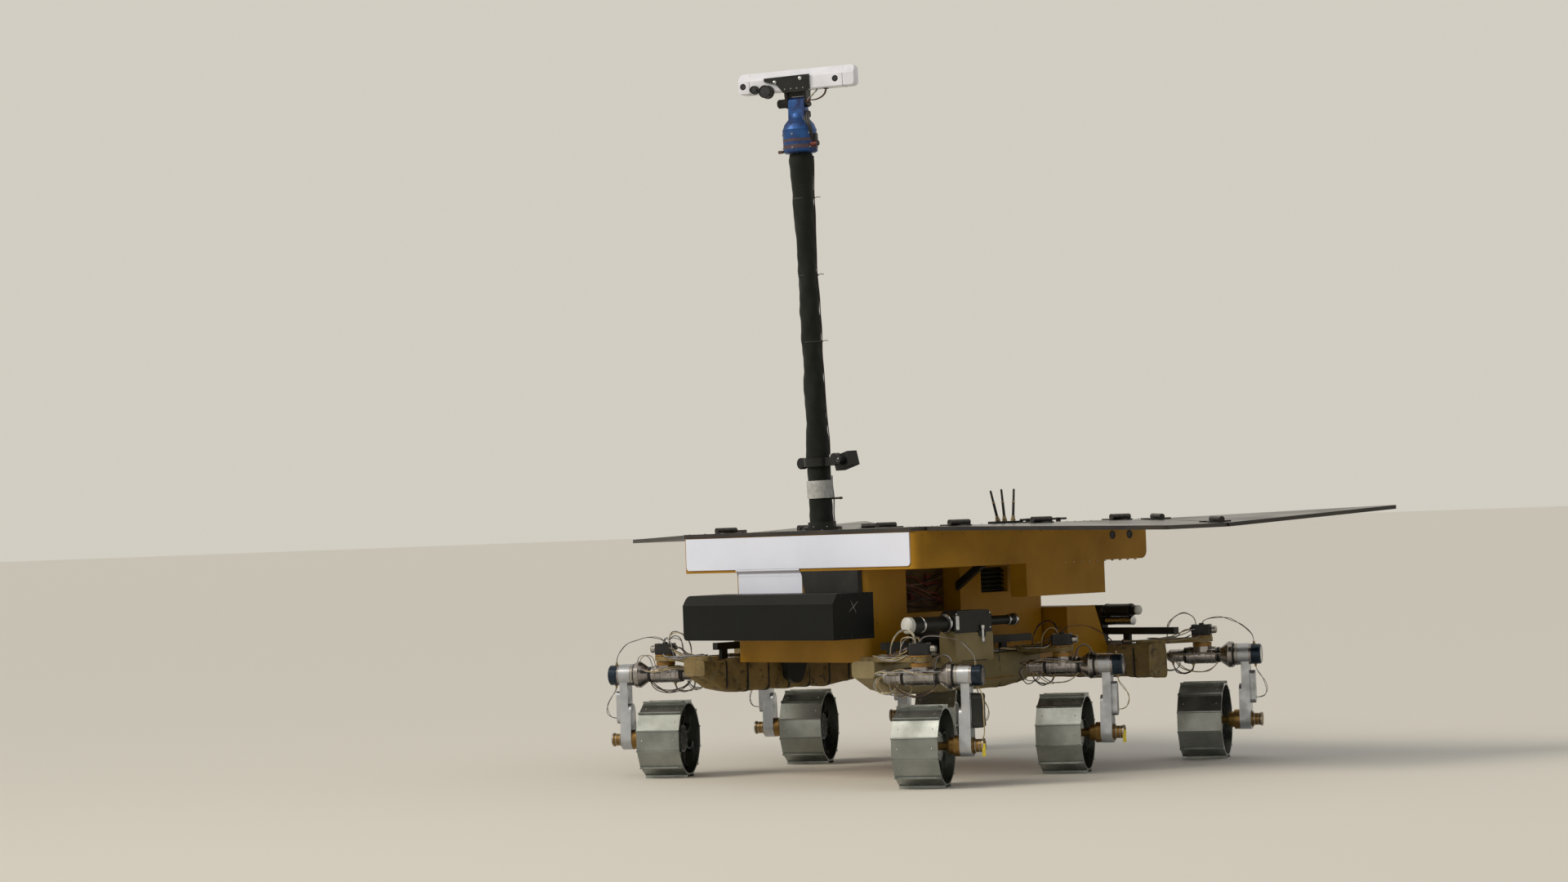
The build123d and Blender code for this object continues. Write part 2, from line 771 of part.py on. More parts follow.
# Head: the blue pan unit, the tilt bracket and the camera bar
lug_radius = 18
fork_inner = 27
fork_thickness = 9
with BuildPart() as pan_unit:
    add(turned(mast_plane, [
        (mast_top, 47), (mast_top + 4, 53), (mast_top + 72, 53), (mast_top + 90, 46), (neck_top - 14, 30),
        (neck_top, 25),
    ]))
    with BuildSketch(Plane.YZ.offset(mast_x - fork_inner + 1)):
        with Locations((mast_y, tilt_z)):
            Circle(lug_radius)
        with Locations((mast_y, neck_top - 14)):
            Rectangle(48, 10)
        make_hull()
        with Locations((mast_y, tilt_z)):
            Circle(8 + running_gap, mode=Mode.SUBTRACT)
    extrude(amount=2 * fork_inner - 2)
save(on_head(pan_unit.part), "pan_unit")

bar_height = 66
bar_depth = 46
bar_bottom = camera_bar_z - bar_height / 2
bar_front = mast_y - bar_depth / 2
with BuildPart() as tilt_bracket:
    for side in (-1, 1):
        with BuildSketch(Plane.YZ.offset(mast_x + side * (fork_inner + fork_thickness / 2) - fork_thickness / 2)):
            with Locations((mast_y, tilt_z)):
                Circle(17)
            with Locations((mast_y, bar_bottom - 3)):
                Rectangle(44, 6)
            make_hull()
        extrude(amount=fork_thickness)
    with Locations((mast_x, mast_y, bar_bottom - 3)):
        Box(2 * (fork_inner + fork_thickness), bar_depth, 6)
    along_bar = Plane(origin=(mast_x, mast_y, tilt_z), x_dir=(1, 0, 0), z_dir=(0, -1, 0))
    add(turned(along_bar, [(-66, 10), (-62, 14), (-36, 14), (-36, 8), (fork_inner + 4, 8)]))
    with BuildSketch(Plane.XZ.offset(-bar_front)):
        with BuildLine():
            Polyline(
                (mast_x - 98, bar_bottom + 44),
                (mast_x + 51, bar_bottom + 46),
                (mast_x + 51, bar_bottom),
                (mast_x + 36, bar_bottom - 6),
                (mast_x - 36, bar_bottom - 6),
                (mast_x - 58, bar_bottom + 22),
                (mast_x - 98, bar_bottom + 34),
                close=True,
            )
        make_face()
    extrude(amount=7)
save(on_head(tilt_bracket.part), "tilt_bracket")

bar_x = mast_x + 4
lens_height = camera_bar_z - 8
lens_stations = [mast_x - 171, mast_x + 134]
barrel_stations = [(mast_x - 130, lens_height - 14, 11, 16), (mast_x - 88, lens_height - 24, 18, 30)]
with BuildPart() as camera_bar:
    with BuildSketch(Plane.YZ.offset(bar_x - camera_bar_length / 2)):
        with BuildLine():
            Polyline(
                (bar_front, bar_bottom + 3),
                (bar_front, bar_bottom + 40),
                (bar_front + 20, bar_bottom + bar_height),
                (bar_front + bar_depth, bar_bottom + bar_height),
                (bar_front + bar_depth, bar_bottom),
                (bar_front + 3, bar_bottom),
                close=True,
            )
        make_face()
    extrude(amount=camera_bar_length)
    with BuildSketch(Plane.XZ.offset(-bar_front)):
        with Locations((bar_x, camera_bar_z)):
            RectangleRounded(camera_bar_length, bar_height, 14)
    extrude(amount=-bar_depth, mode=Mode.INTERSECT)
    for x, z, radius, reach in barrel_stations:
        with BuildSketch(Plane.XZ.offset(-bar_front)):
            with Locations((x, z)):
                Circle(radius)
        extrude(amount=reach)
    with BuildSketch(Plane.XZ.offset(-bar_front)):
        with Locations(*[(x, lens_height) for x in lens_stations]):
            Circle(10)
    extrude(amount=-18, mode=Mode.SUBTRACT)
save(on_head(camera_bar.part), "camera_bar")


# Leads: stiff loops over each steering motor, and the ones that turn with each leg
lead_radius = 2.5


def lead(plane, route):
    """A tube through the route's points, with each bend as large as its two runs allow."""
    points = [Vector(*point) for point in route]
    radii = []
    for before, here, after in zip(points, points[1:], points[2:]):
        turn = radians((here - before).get_angle(after - here))
        radii.append(0.45 * min((here - before).length, (after - here).length) / tan(turn / 2))
    with BuildPart(mode=Mode.PRIVATE) as tube:
        with BuildLine(Plane.XY) as path:
            FilletPolyline(*[plane.from_local_coords(point) for point in points], radius=radii)
        wire = path.wire()
        with BuildSketch(Plane(origin=wire @ 0, z_dir=wire % 0)):
            Circle(lead_radius)
        sweep(path=wire)
    section = pi * lead_radius**2
    print("lead radii", [round(radius) for radius in radii], "volume share", tube.part.volume / section / wire.length)
    return tube.part


def arm_plane(x, y):
    """The ground under a steering axis, with x running away from the root of its arm."""
    side = side_of(x)
    root = (side * (beam_inner + arm_radius), y) if y != rear_y else (side * 520, rear_beam_y)
    return Plane(origin=(x, y, 0), x_dir=(x - root[0], y - root[1], 0), z_dir=(0, 0, 1))


block_top = bearing_top + motor_block[2]
cap_z = walk_z + cap_radius
arch_route = [
    (-20, 0, block_top), (-20, 0, 443), (-36, 5, 458), (-65, 8, 464), (-96, 6, 454), (-118, 3, 432),
    (-125, 0, 408), (-125, 0, beam_top + arm_thickness),
]
cap_route = [
    (0, 0, block_top), (0, 0, 445), (18, 7, 462), (52, 12, 469), (90, 12, 461), (124, 9, 440),
    (152, 5, 412), (165, 0, 385), (165, 0, cap_z),
]
leg_route = [
    (168, 0, walk_z - cap_radius), (168, 0, 279), (183, 4, 258), (197, 7, 234), (199, 5, 211), (189, 0, 190),
    (leg_inner + leg_thickness + guard_depth, 0, 190),
]
under_route = [
    (-95, 0, walk_z - 20), (-95, 0, 291), (-84, 5, 276), (-64, 8, 269), (-44, 5, 272), (-30, 0, 285),
    (-30, 0, walk_z - 27),
]
with BuildPart() as harness:
    for x, y in corners.values():
        add(lead(arm_plane(x, y), arch_route))
save(harness.part, "harness")

for corner, (x, y) in corners.items():
    base = corner_plane(x, y)
    with BuildPart() as leads:
        for route in (cap_route, leg_route, under_route):
            add(lead(base, route))
    save(leads.part, f"lead_{corner}")
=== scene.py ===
import json
import math
import bpy
import numpy as np
from mathutils import Matrix, Vector


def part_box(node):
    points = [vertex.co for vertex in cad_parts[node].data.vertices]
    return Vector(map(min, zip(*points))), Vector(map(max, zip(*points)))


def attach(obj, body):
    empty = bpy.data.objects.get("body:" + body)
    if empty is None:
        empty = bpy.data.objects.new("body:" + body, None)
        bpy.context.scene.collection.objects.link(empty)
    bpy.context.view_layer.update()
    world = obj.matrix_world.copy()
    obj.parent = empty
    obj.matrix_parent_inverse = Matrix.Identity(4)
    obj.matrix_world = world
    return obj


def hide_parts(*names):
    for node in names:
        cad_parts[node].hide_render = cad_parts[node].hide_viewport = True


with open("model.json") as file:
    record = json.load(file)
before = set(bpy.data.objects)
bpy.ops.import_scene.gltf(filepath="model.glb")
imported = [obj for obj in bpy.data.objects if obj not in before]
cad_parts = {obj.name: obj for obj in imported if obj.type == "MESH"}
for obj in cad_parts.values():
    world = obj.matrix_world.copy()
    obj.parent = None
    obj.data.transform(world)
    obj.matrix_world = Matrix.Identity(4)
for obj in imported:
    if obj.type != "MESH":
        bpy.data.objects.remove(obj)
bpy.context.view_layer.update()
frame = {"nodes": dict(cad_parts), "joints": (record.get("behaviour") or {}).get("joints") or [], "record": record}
nodes = frame["nodes"]
joints = {joint["name"]: joint for joint in frame["joints"]}
mm = 0.001
upward = np.array([0.0, 0.0, 1.0])


# sRGB hex to the linear colour that the shaders take
def linear(hexCode):
    values = [int(hexCode[i:i + 2], 16) / 255 for i in (1, 3, 5)]
    return [v / 12.92 if v <= 0.04045 else ((v + 0.055) / 1.055) ** 2.4 for v in values] + [1.0]


# adds one node: its own settings, then values for its sockets, then links into its sockets, each from another
# socket or from a node's first one
def addNode(tree, kind, settings=None, values=None, links=None):
    node = tree.nodes.new("ShaderNode" + kind)
    for key, value in (settings or {}).items():
        setattr(node, key, value)
    for key, value in (values or {}).items():
        node.inputs[key].default_value = value
    for key, source in (links or {}).items():
        tree.links.new(getattr(source, "outputs", [source])[0], node.inputs[key])
    return node


# Camera, at the photograph's place, turn and focal length

cameraLook = {
    "place": (7.934, -7.968, 0.775),  # metres
    "azimuth": 47.351,                # degrees, 0 looks along +Y
    "elevation": -1.4326,
    "roll": -2.0426,
    "lens": 80.67,                    # mm
    "sensor": 36,                     # mm wide
    "far": 2000,                      # metres, beyond which nothing is drawn
}


# ahead is the view direction of the two angles, and roll turns the picture about it
def makeCamera(look):
    az, el, roll = (math.radians(look[key]) for key in ("azimuth", "elevation", "roll"))
    ahead = Vector((-math.sin(az) * math.cos(el), math.cos(az) * math.cos(el), -math.sin(el)))
    right = Vector((math.cos(az), math.sin(az), 0))
    top = right.cross(ahead)
    right, top = math.cos(roll) * right + math.sin(roll) * top, math.cos(roll) * top - math.sin(roll) * right
    data = bpy.data.cameras.new("camera")
    data.lens = look["lens"]
    data.sensor_width = look["sensor"]
    data.clip_end = look["far"]
    camera = bpy.data.objects.new("camera", data)
    turn = Matrix((right, top, -ahead)).transposed().to_4x4()
    camera.matrix_world = Matrix.Translation(look["place"]) @ turn
    bpy.context.scene.collection.objects.link(camera)
    bpy.context.scene.camera = camera


makeCamera(cameraLook)

# Studio: an even sky, a broad key light from the front right of the rover, a pale floor

studioLook = {
    "backdrop": "#e3ded2",   # what the camera, metal and glass see beyond the floor
    "backdropStrength": 0.84,
    "floor": "#e3ddcf",
    "floorRoughness": 0.9,
    "floorSpecular": 0.2,
    "floorSize": 900,        # metres, so that its edge meets the horizon
    "sky": "#eef1f6",
    "skyStrength": 0.52,
    "keyFrom": (-0.42, -0.80, 0.62),
    "keyStrength": 1.6,
    "keyColour": "#fff6e8",
    "keySpread": 28,         # degrees across, for soft shadows
    # a broad lamp high in front, which the flats of the wheels mirror, in metres
    "softAt": (1.1, -4.4, 4.9),
    "softAim": (0.2, -0.3, 0.2),
    "softSize": (3.4, 0.9),
    "softPower": 36,
}


# a lamp of one kind, turned so that its light comes from a direction
def addLamp(name, kind, towards, colour, energy):
    light = bpy.data.lights.new(name, kind)
    light.energy = energy
    light.color = linear(colour)[:3]
    lamp = bpy.data.objects.new(name, light)
    lamp.rotation_euler = Vector(towards).to_track_quat("Z", "Y").to_euler()
    bpy.context.scene.collection.objects.link(lamp)
    return lamp


def makeStudio(look):
    world = bpy.data.worlds.new("studio")
    bpy.context.scene.world = world
    world.use_nodes = True
    tree = world.node_tree
    tree.nodes.clear()
    path = addNode(tree, "LightPath").outputs
    seen = path["Is Camera Ray"]
    for ray in ("Is Glossy Ray", "Is Transmission Ray"):
        seen = addNode(tree, "Math", {"operation": "MAXIMUM"}, links={0: seen, 1: path[ray]})
    sky, backdrop = (addNode(tree, "Background", values={"Color": linear(look[name]),
                                                         "Strength": look[name + "Strength"]})
                     for name in ("sky", "backdrop"))
    mix = addNode(tree, "MixShader", links={0: seen, 1: sky, 2: backdrop})
    addNode(tree, "OutputWorld", links={"Surface": mix})

    key = addLamp("key", "SUN", look["keyFrom"], look["keyColour"], look["keyStrength"])
    key.data.angle = math.radians(look["keySpread"])
    towards = Vector(look["softAt"]) - Vector(look["softAim"])
    soft = addLamp("soft", "AREA", towards, look["keyColour"], look["softPower"])
    soft.data.shape = "RECTANGLE"
    soft.data.size, soft.data.size_y = look["softSize"]
    soft.location = look["softAt"]
    soft.visible_camera = False

    half = look["floorSize"] / 2
    mesh = bpy.data.meshes.new("floor")
    square = [(-half, -half, 0), (half, -half, 0), (half, half, 0), (-half, half, 0)]
    mesh.from_pydata(square, [], [(0, 1, 2, 3)])
    floor = bpy.data.objects.new("floor", mesh)
    bpy.context.scene.collection.objects.link(floor)
    material = bpy.data.materials.new("paintedStudioFloor")
    material.use_nodes = True
    shader = material.node_tree.nodes["Principled BSDF"]
    shader.inputs["Base Color"].default_value = linear(look["floor"])
    shader.inputs["Roughness"].default_value = look["floorRoughness"]
    shader.inputs["Specular IOR Level"].default_value = look["floorSpecular"]
    mesh.materials.append(material)


makeStudio(studioLook)
bpy.context.scene.view_settings.view_transform = "Standard"
print("camera and studio")

# Materials: how each is described, and what is painted on some


# A finish from a plain description: two colours that a soft noise mixes, a roughness range that drifts
# with the same noise, bump layers with real sizes in mm, and a film of dust that lies in patches.
# paint, where given, adds nodes of its own between the mixed colour and the shader.
def finish(name, look, paint=None):
    material = bpy.data.materials.new(name)
    material.use_nodes = True
    tree = material.node_tree
    tree.nodes.clear()
    place = addNode(tree, "TexCoord").outputs["Object"]
    along = addNode(tree, "Mapping", values={"Rotation": (0, 0, math.radians(look.get("turn", 0)))},
                    links={"Vector": place})
    drift = addNode(tree, "TexNoise", links={"Vector": place},
                    values={"Scale": 1 / (look["patch"] * mm), "Detail": 4.0, "Roughness": 0.55})
    spread = addNode(tree, "MapRange", values={"From Min": 0.35, "From Max": 0.68}, links={"Value": drift})
    first, second = look["colour"]
    colour = addNode(tree, "Mix", {"data_type": "RGBA"}, {6: linear(first), 7: linear(second)},
                     {0: spread}).outputs[2]
    low, high = look["roughness"]
    rough = addNode(tree, "MapRange", links={"Value": drift},
                    values={"From Min": 0.3, "From Max": 0.7, "To Min": low, "To Max": high})
    if paint:
        colour, rough = paint(tree, along, colour, rough)
    if "dust" in look:
        shade, patch, amount = look["dust"]
        film = addNode(tree, "TexNoise", links={"Vector": place},
                       values={"Scale": 1 / (patch * mm), "Detail": look.get("dustDetail", 3.0)})
        cover = addNode(tree, "MapRange", links={"Value": film},
                        values={"From Min": 0.48, "From Max": 0.78, "To Min": 0.0, "To Max": amount})
        colour = addNode(tree, "Mix", {"data_type": "RGBA"}, {7: linear(shade)},
                         {0: cover, 6: colour}).outputs[2]
        rough = addNode(tree, "Math", {"operation": "ADD", "use_clamp": True}, links={0: rough, 1: cover})
    links = {"Base Color": colour, "Roughness": rough}
    for kind, size, height, stretch in look.get("layers", []):
        grain = addNode(tree, "Mapping", values={"Scale": [1 / (size * mm * s) for s in stretch]},
                        links={"Vector": along})
        if kind == "cells":
            pattern = addNode(tree, "TexVoronoi", {"feature": "F1"}, {"Scale": 1.0}, {"Vector": grain})
        else:
            pattern = addNode(tree, "TexNoise", values={"Scale": 1.0, "Detail": 3.0}, links={"Vector": grain})
        below = {"Normal": links["Normal"]} if "Normal" in links else {}
        links["Normal"] = addNode(tree, "Bump", values={"Strength": 1.0, "Distance": height * mm},
                                  links={"Height": pattern, **below})
    shader = addNode(tree, "BsdfPrincipled", links=links,
                     values={"Metallic": look.get("metallic", 0.0), **look.get("shader", {})})
    addNode(tree, "OutputMaterial", links={"Surface": shader})
    return material


# solar cells under clear lacquer, on the panel's upper face: dark cells in a grid of thin paler gaps
cellLook = {
    "length": 80, "width": 40, "gap": 2.4,   # mm
    "cell": "#191718", "cellTwo": "#221f1f", "gapColour": "#4a4238", "backColour": "#1d1917",
    "tint": 0.35,    # how much of the finish's own drift shows on the cells
    "gloss": 0.55,   # share of the finish's roughness under the lacquer
}


def paintCells(tree, place, colour, rough):
    look = cellLook
    flat = addNode(tree, "Mapping", values={"Scale": (1 / mm, 1 / mm, 0)}, links={"Vector": place})
    grid = addNode(tree, "TexBrick", {"offset": 0.0, "squash": 1.0},
                   {"Color1": linear(look["cell"]), "Color2": linear(look["cellTwo"]),
                    "Mortar": linear(look["gapColour"]), "Scale": 1.0, "Mortar Size": look["gap"] / 2,
                    "Mortar Smooth": 0.1, "Bias": 0.0, "Brick Width": look["length"],
                    "Row Height": look["width"]}, {"Vector": flat})
    facing = addNode(tree, "SeparateXYZ", links={0: addNode(tree, "TexCoord").outputs["Normal"]}).outputs["Z"]
    isTop = addNode(tree, "Math", {"operation": "GREATER_THAN"}, {1: 0.5}, {0: facing})
    top = addNode(tree, "Mix", {"data_type": "RGBA", "blend_type": "MULTIPLY"}, {0: look["tint"]},
                  {6: grid, 7: colour}).outputs[2]
    mixed = addNode(tree, "Mix", {"data_type": "RGBA"}, {6: linear(look["backColour"])},
                    {0: isTop, 7: top}).outputs[2]
    smooth = addNode(tree, "Math", {"operation": "MULTIPLY"}, {1: look["gloss"]}, {0: rough})
    return mixed, addNode(tree, "Mix", {"data_type": "FLOAT"}, {}, {0: isTop, 2: rough, 3: smooth})


# braided sleeve: two sets of slanting bands that cross, paler where both are high
sleeveLook = {"threadPitch": 6.0, "light": "#22271f"}


def paintBraid(tree, place, colour, rough):
    pitch = 1 / (sleeveLook["threadPitch"] * mm)
    threads = []
    for lean in (pitch, -pitch):
        leaning = addNode(tree, "Mapping", values={"Scale": (lean, lean, pitch)}, links={"Vector": place})
        threads.append(addNode(tree, "TexWave", {"bands_direction": "DIAGONAL"},
                               {"Scale": 0.3, "Distortion": 0.4}, {"Vector": leaning}).outputs["Fac"])
    weave = addNode(tree, "Math", {"operation": "MULTIPLY"}, {}, {0: threads[0], 1: threads[1]})
    return addNode(tree, "Mix", {"data_type": "RGBA"}, {7: linear(sleeveLook["light"])},
                   {0: weave, 6: colour}).outputs[2], rough


# mottled wrap: pale and dark blotches over the brown, sharper than the soft drift
wrapLook = {"blotch": 26, "amount": 0.75,
            # colour, shift of the noise, and between which of its values the blotch comes in
            "shades": [("#7d7050", 0.0, 0.54, 0.66), ("#2a2118", 7.3, 0.55, 0.63)]}


def paintBlotches(tree, place, colour, rough):
    size = 1 / (wrapLook["blotch"] * mm)
    for shade, offset, low, high in wrapLook["shades"]:
        moved = addNode(tree, "Mapping", values={"Location": (offset, offset, 0)}, links={"Vector": place})
        noise = addNode(tree, "TexNoise", values={"Scale": size, "Detail": 6.0, "Roughness": 0.65},
                        links={"Vector": moved})
        amount = addNode(tree, "MapRange", links={"Value": noise},
                         values={"From Min": low, "From Max": high, "To Max": wrapLook["amount"]})
        colour = addNode(tree, "Mix", {"data_type": "RGBA"}, {7: linear(shade)},
                         {0: amount, 6: colour}).outputs[2]
    return colour, rough


even = (1, 1, 1)
axle = joints["roll_front_left"]["axis"]
axleTurn = -math.degrees(math.atan2(axle[1], axle[0]))
looks = {
    # sprayed satin enamel on sheet, a deep amber: fine orange peel, a little dust, faded patches
    "gold_paint": dict(colour=("#a67703", "#8f6502"), patch=170, roughness=(0.42, 0.55),
                       layers=[("noise", 5, 0.05, even)], dust=("#a07a1c", 90, 0.06),
                       shader={"Specular IOR Level": 0.3}),
    # powder-coated sheet: cool white with faint speckle in its gloss
    "white_plate": dict(colour=("#e4e8f4", "#dbe0ee"), patch=220, roughness=(0.35, 0.5),
                        layers=[("noise", 3, 0.03, even)], dust=("#cfcabd", 120, 0.1)),
    # black anodised machined aluminium: satin, near black, slightly greenish where it is rubbed
    "black_anodised": dict(colour=("#0e100f", "#181b19"), patch=60, roughness=(0.34, 0.5),
                           layers=[("noise", 2, 0.03, even)], dust=("#5c533c", 50, 0.12),
                           shader={"Specular IOR Level": 0.35}),
    # vacuum-formed cover, matt black-green with a fine leather grain
    "drill_cover": dict(colour=("#080a09", "#0c0f0e"), patch=140, roughness=(0.4, 0.5),
                        layers=[("cells", 3, 0.06, even)], dust=("#4a4a40", 80, 0.02),
                        shader={"Specular IOR Level": 0.16}),
    # solar cells under lacquer on a thin sandwich panel
    "solar_panel": dict(colour=("#ffffff", "#c9bdb4"), patch=300, roughness=(0.36, 0.52),
                        layers=[("noise", 40, 0.1, even)], dust=("#7c6c4e", 160, 0.16),
                        shader={"Specular IOR Level": 0.5}),
    # beams under a brown wrapped cover
    "bogie_wrap": dict(colour=("#87713f", "#62522b"), patch=90, roughness=(0.5, 0.75),
                       layers=[("noise", 30, 1.6, even), ("noise", 9, 0.5, even)],
                       dust=("#8f7c4f", 60, 0.2)),
    # rolled sheet steel, brushed along the axle, with sand dust in patches
    "wheel_steel": dict(colour=("#a2a6a4", "#868b87"), patch=90, metallic=1.0, roughness=(0.22, 0.32),
                        layers=[("noise", 1.6, 0.01, (40, 1, 1)), ("noise", 90, 0.12, even)], turn=axleTurn,
                        dust=("#6d6145", 120, 0.15), dustDetail=1.0),
    # milled aluminium plate, cutter marks along the leg
    "leg_aluminium": dict(colour=("#c6c9cf", "#acb0b6"), patch=40, metallic=1.0, roughness=(0.26, 0.4),
                          layers=[("noise", 1.5, 0.03, (1, 1, 20))], turn=axleTurn,
                          dust=("#7d7052", 35, 0.2)),
    # turned stainless steel: fine rings round the barrel, bright
    "drive_barrel": dict(colour=("#b5b0b0", "#857f7c"), patch=40, metallic=1.0, roughness=(0.16, 0.28),
                         layers=[("noise", 1.4, 0.006, (1, 30, 30))], turn=axleTurn,
                         dust=("#6b5836", 60, 0.1), dustDetail=1.0),
    # gearbox housing, bead blasted and bronze coloured
    "drive_bronze": dict(colour=("#927444", "#735a34"), patch=25, metallic=1.0, roughness=(0.3, 0.46),
                         layers=[("noise", 1.2, 0.05, even)], dust=("#8d7a52", 25, 0.25)),
    # dark painted motor covers
    "motor_dark": dict(colour=("#16171a", "#0e0f11"), patch=30, roughness=(0.32, 0.5),
                       layers=[("noise", 1.5, 0.04, even)], dust=("#5d5138", 25, 0.15),
                       shader={"Specular IOR Level": 0.4}),
    # braided polyester sleeve over the mast's cables
    "mast_sleeve": dict(colour=("#0c0f0c", "#141812"), patch=80, roughness=(0.7, 0.88),
                        layers=[("noise", 14, 0.8, (1, 1, 0.5))], dust=("#3e3d2c", 120, 0.1),
                        shader={"Sheen Weight": 0.1, "Sheen Roughness": 0.5, "Specular IOR Level": 0.2}),
    # cloth tape wound round the mast
    "tape": dict(colour=("#bcbcb8", "#a0a09a"), patch=14, roughness=(0.55, 0.7),
                 layers=[("noise", 12, 0.5, (3, 3, 0.5))], dust=("#8c8672", 25, 0.25)),
    # blue anodised aluminium housing of the pan drive
    "blue_anodised": dict(colour=("#2a5590", "#1c3566"), patch=30, metallic=0.6, roughness=(0.34, 0.5),
                          layers=[("noise", 2, 0.03, even)], dust=("#4b4a58", 30, 0.3)),
    # painted camera housing, cool white
    "camera_white": dict(colour=("#ececf2", "#dcdce2"), patch=60, roughness=(0.3, 0.42),
                         layers=[("noise", 2, 0.03, even)], dust=("#bdb7a9", 40, 0.1)),
    # cable sheath, extruded PVC in a dusty brown
    "cable_sheath": dict(colour=("#75664c", "#5f5340"), patch=20, roughness=(0.45, 0.6)),
}
paints = {"solar_panel": paintCells, "bogie_wrap": paintBlotches, "mast_sleeve": paintBraid}

# more finishes, for the small pieces that only this script adds
smallLooks = {
    # zinc-plated steel screws and rings
    "platedSteel": dict(colour=("#b9b7b2", "#8d8a84"), patch=9, metallic=1.0, roughness=(0.22, 0.4)),
    # wire sheaths, extruded and slightly dusty, in the usual colours
    "wireBeige": dict(colour=("#b3a27c", "#94845f"), patch=30, roughness=(0.45, 0.6)),
    "wireBrown": dict(colour=("#5e4535", "#46352a"), patch=30, roughness=(0.4, 0.55)),
    "wireGrey": dict(colour=("#9a9a9a", "#7a7a7c"), patch=30, roughness=(0.4, 0.55)),
    "wireBlack": dict(colour=("#1b1b1d", "#29282a"), patch=30, roughness=(0.4, 0.55)),
    "wireDark": dict(colour=("#3a2522", "#2b1d1c"), patch=30, roughness=(0.4, 0.55)),
    # nylon cable ties, moulded black
    "nylon": dict(colour=("#161616", "#232323"), patch=10, roughness=(0.45, 0.6)),
    # machined connector shells, a dull brass that has gone grey
    "dullBrass": dict(colour=("#a39273", "#7b6c52"), patch=12, metallic=1.0, roughness=(0.28, 0.42)),
    # red-brown moulded connector
    "redConnector": dict(colour=("#7d3326", "#5c271f"), patch=10, roughness=(0.4, 0.55)),
    # yellow paper tag
    "yellowTag": dict(colour=("#d9c63a", "#c7b22f"), patch=8, roughness=(0.6, 0.7)),
    # blue-black anodised cap: bluer and glossier than the other black parts
    "capBlue": dict(colour=("#1d2630", "#2f3c4a"), patch=20, metallic=0.7, roughness=(0.2, 0.34)),
    # coated lens glass, nearly black with a gloss
    "lensGlass": dict(colour=("#05070c", "#0b1020"), patch=10, roughness=(0.03, 0.06), shader={"Coat Weight":
                      1.0, "Coat Roughness": 0.03}),
    # bare machined aluminium, bright
    "bareAluminium": dict(colour=("#cfd0d2", "#b1b3b6"), patch=15, metallic=1.0, roughness=(0.2, 0.34)),
    # the left beam's cover, a smooth grey-brown film pulled tight
    "smoothWrap": dict(colour=("#87784f", "#70633e"), patch=120, roughness=(0.4, 0.6),
                       layers=[("noise", 24, 0.5, even)], dust=("#8a7a58", 70, 0.15)),
    # woven band stuck round the pan unit, purplish brown
    "panBand": dict(colour=("#4d3a44", "#3d2e36"), patch=12, roughness=(0.5, 0.65)),
    # painted highlight: a paler metal along the lug edges of the wheels' flats
    "lugHighlight": dict(colour=("#c4c8c4", "#9a9e98"), patch=30, metallic=1.0, roughness=(0.25, 0.4)),
    # dark amber lining of the wiring bay: the hull's paint darkened, painted shade for the recess
    "bayShadeBrown": dict(colour=("#5c4412", "#42300c"), patch=40, roughness=(0.5, 0.7)),
    # white moulded cap on the end of a pivot drive
    "whiteCap": dict(colour=("#dad9d2", "#c4c2b8"), patch=20, roughness=(0.35, 0.5)),
    # dark olive sheet behind the wiring bay and the vent, and on the vent's louvres: painted shade for the recess
    "ventShadeGreen": dict(colour=("#2a2d16", "#1e2111"), patch=60, roughness=(0.4, 0.6)),
    # screws painted over with the hull
    "paintedScrews": dict(colour=("#8a680c", "#6f530a"), patch=20, roughness=(0.4, 0.55)),
    # bare plastic where the cover is scuffed
    "scuffed": dict(colour=("#8f958f", "#6f756f"), patch=8, roughness=(0.6, 0.8)),
    # golden-brown tape along a beam
    "amberTape": dict(colour=("#9a6f25", "#7d5a1e"), patch=25, metallic=0.2, roughness=(0.3, 0.5)),
}
materials = {name: finish(name, look, paints.get(name)) for name, look in {**looks, **smallLooks}.items()}
for subpart in frame["record"]["subparts"]:
    data = nodes[subpart["node"]].data
    data.materials.clear()
    data.materials.append(materials[subpart["material_slot"]])
print("materials", len(materials))

# Shapes: each is (points, quads, triangles), worked out as whole arrays. Places are in metres, and radii,
# sizes and profiles in mm.


# rings of points carried along a path, skinned with quads, with a fan of triangles over each end
def skin(rings):
    count, around = rings.shape[:2]
    i, j = np.meshgrid(np.arange(count - 1), np.arange(around), indexing="ij")
    j2 = (j + 1) % around
    quads = np.stack([i * around + j, i * around + j2, (i + 1) * around + j2, (i + 1) * around + j], -1)
    points = np.vstack([rings.reshape(-1, 3), rings[0].mean(0), rings[-1].mean(0)])
    k = np.arange(around)
    k2 = (k + 1) % around
    last = (count - 1) * around
    first = np.stack([np.full(around, count * around), k2, k], -1)
    final = np.stack([np.full(around, count * around + 1), last + k, last + k2], -1)
    return points, quads.reshape(-1, 4), np.vstack([first, final])


# several shapes as one: each one's faces count on from the points before them
def join(shapes):
    points, quads, tris, start = [], [], [], 0
    for shape in shapes:
        points.append(shape[0])
        quads.append(shape[1] + start)
        tris.append(shape[2] + start)
        start += len(shape[0])
    return np.vstack(points), np.vstack(quads), np.vstack(tris)


# the same shape at many places: point = place + shape point turned into that place's three axes
def scatter(shape, places, axes):
    points, quads, tris = shape
    places, axes = np.atleast_2d(places), np.asarray(axes).reshape(-1, 3, 3)
    axes = np.broadcast_to(axes, (len(places), 3, 3))
    moved = places[:, None, :] + np.einsum("pk,nkc->npc", points, axes)
    step = (np.arange(len(places)) * len(points))[:, None, None]
    return moved.reshape(-1, 3), (quads[None] + step).reshape(-1, 4), (tris[None] + step).reshape(-1, 3)


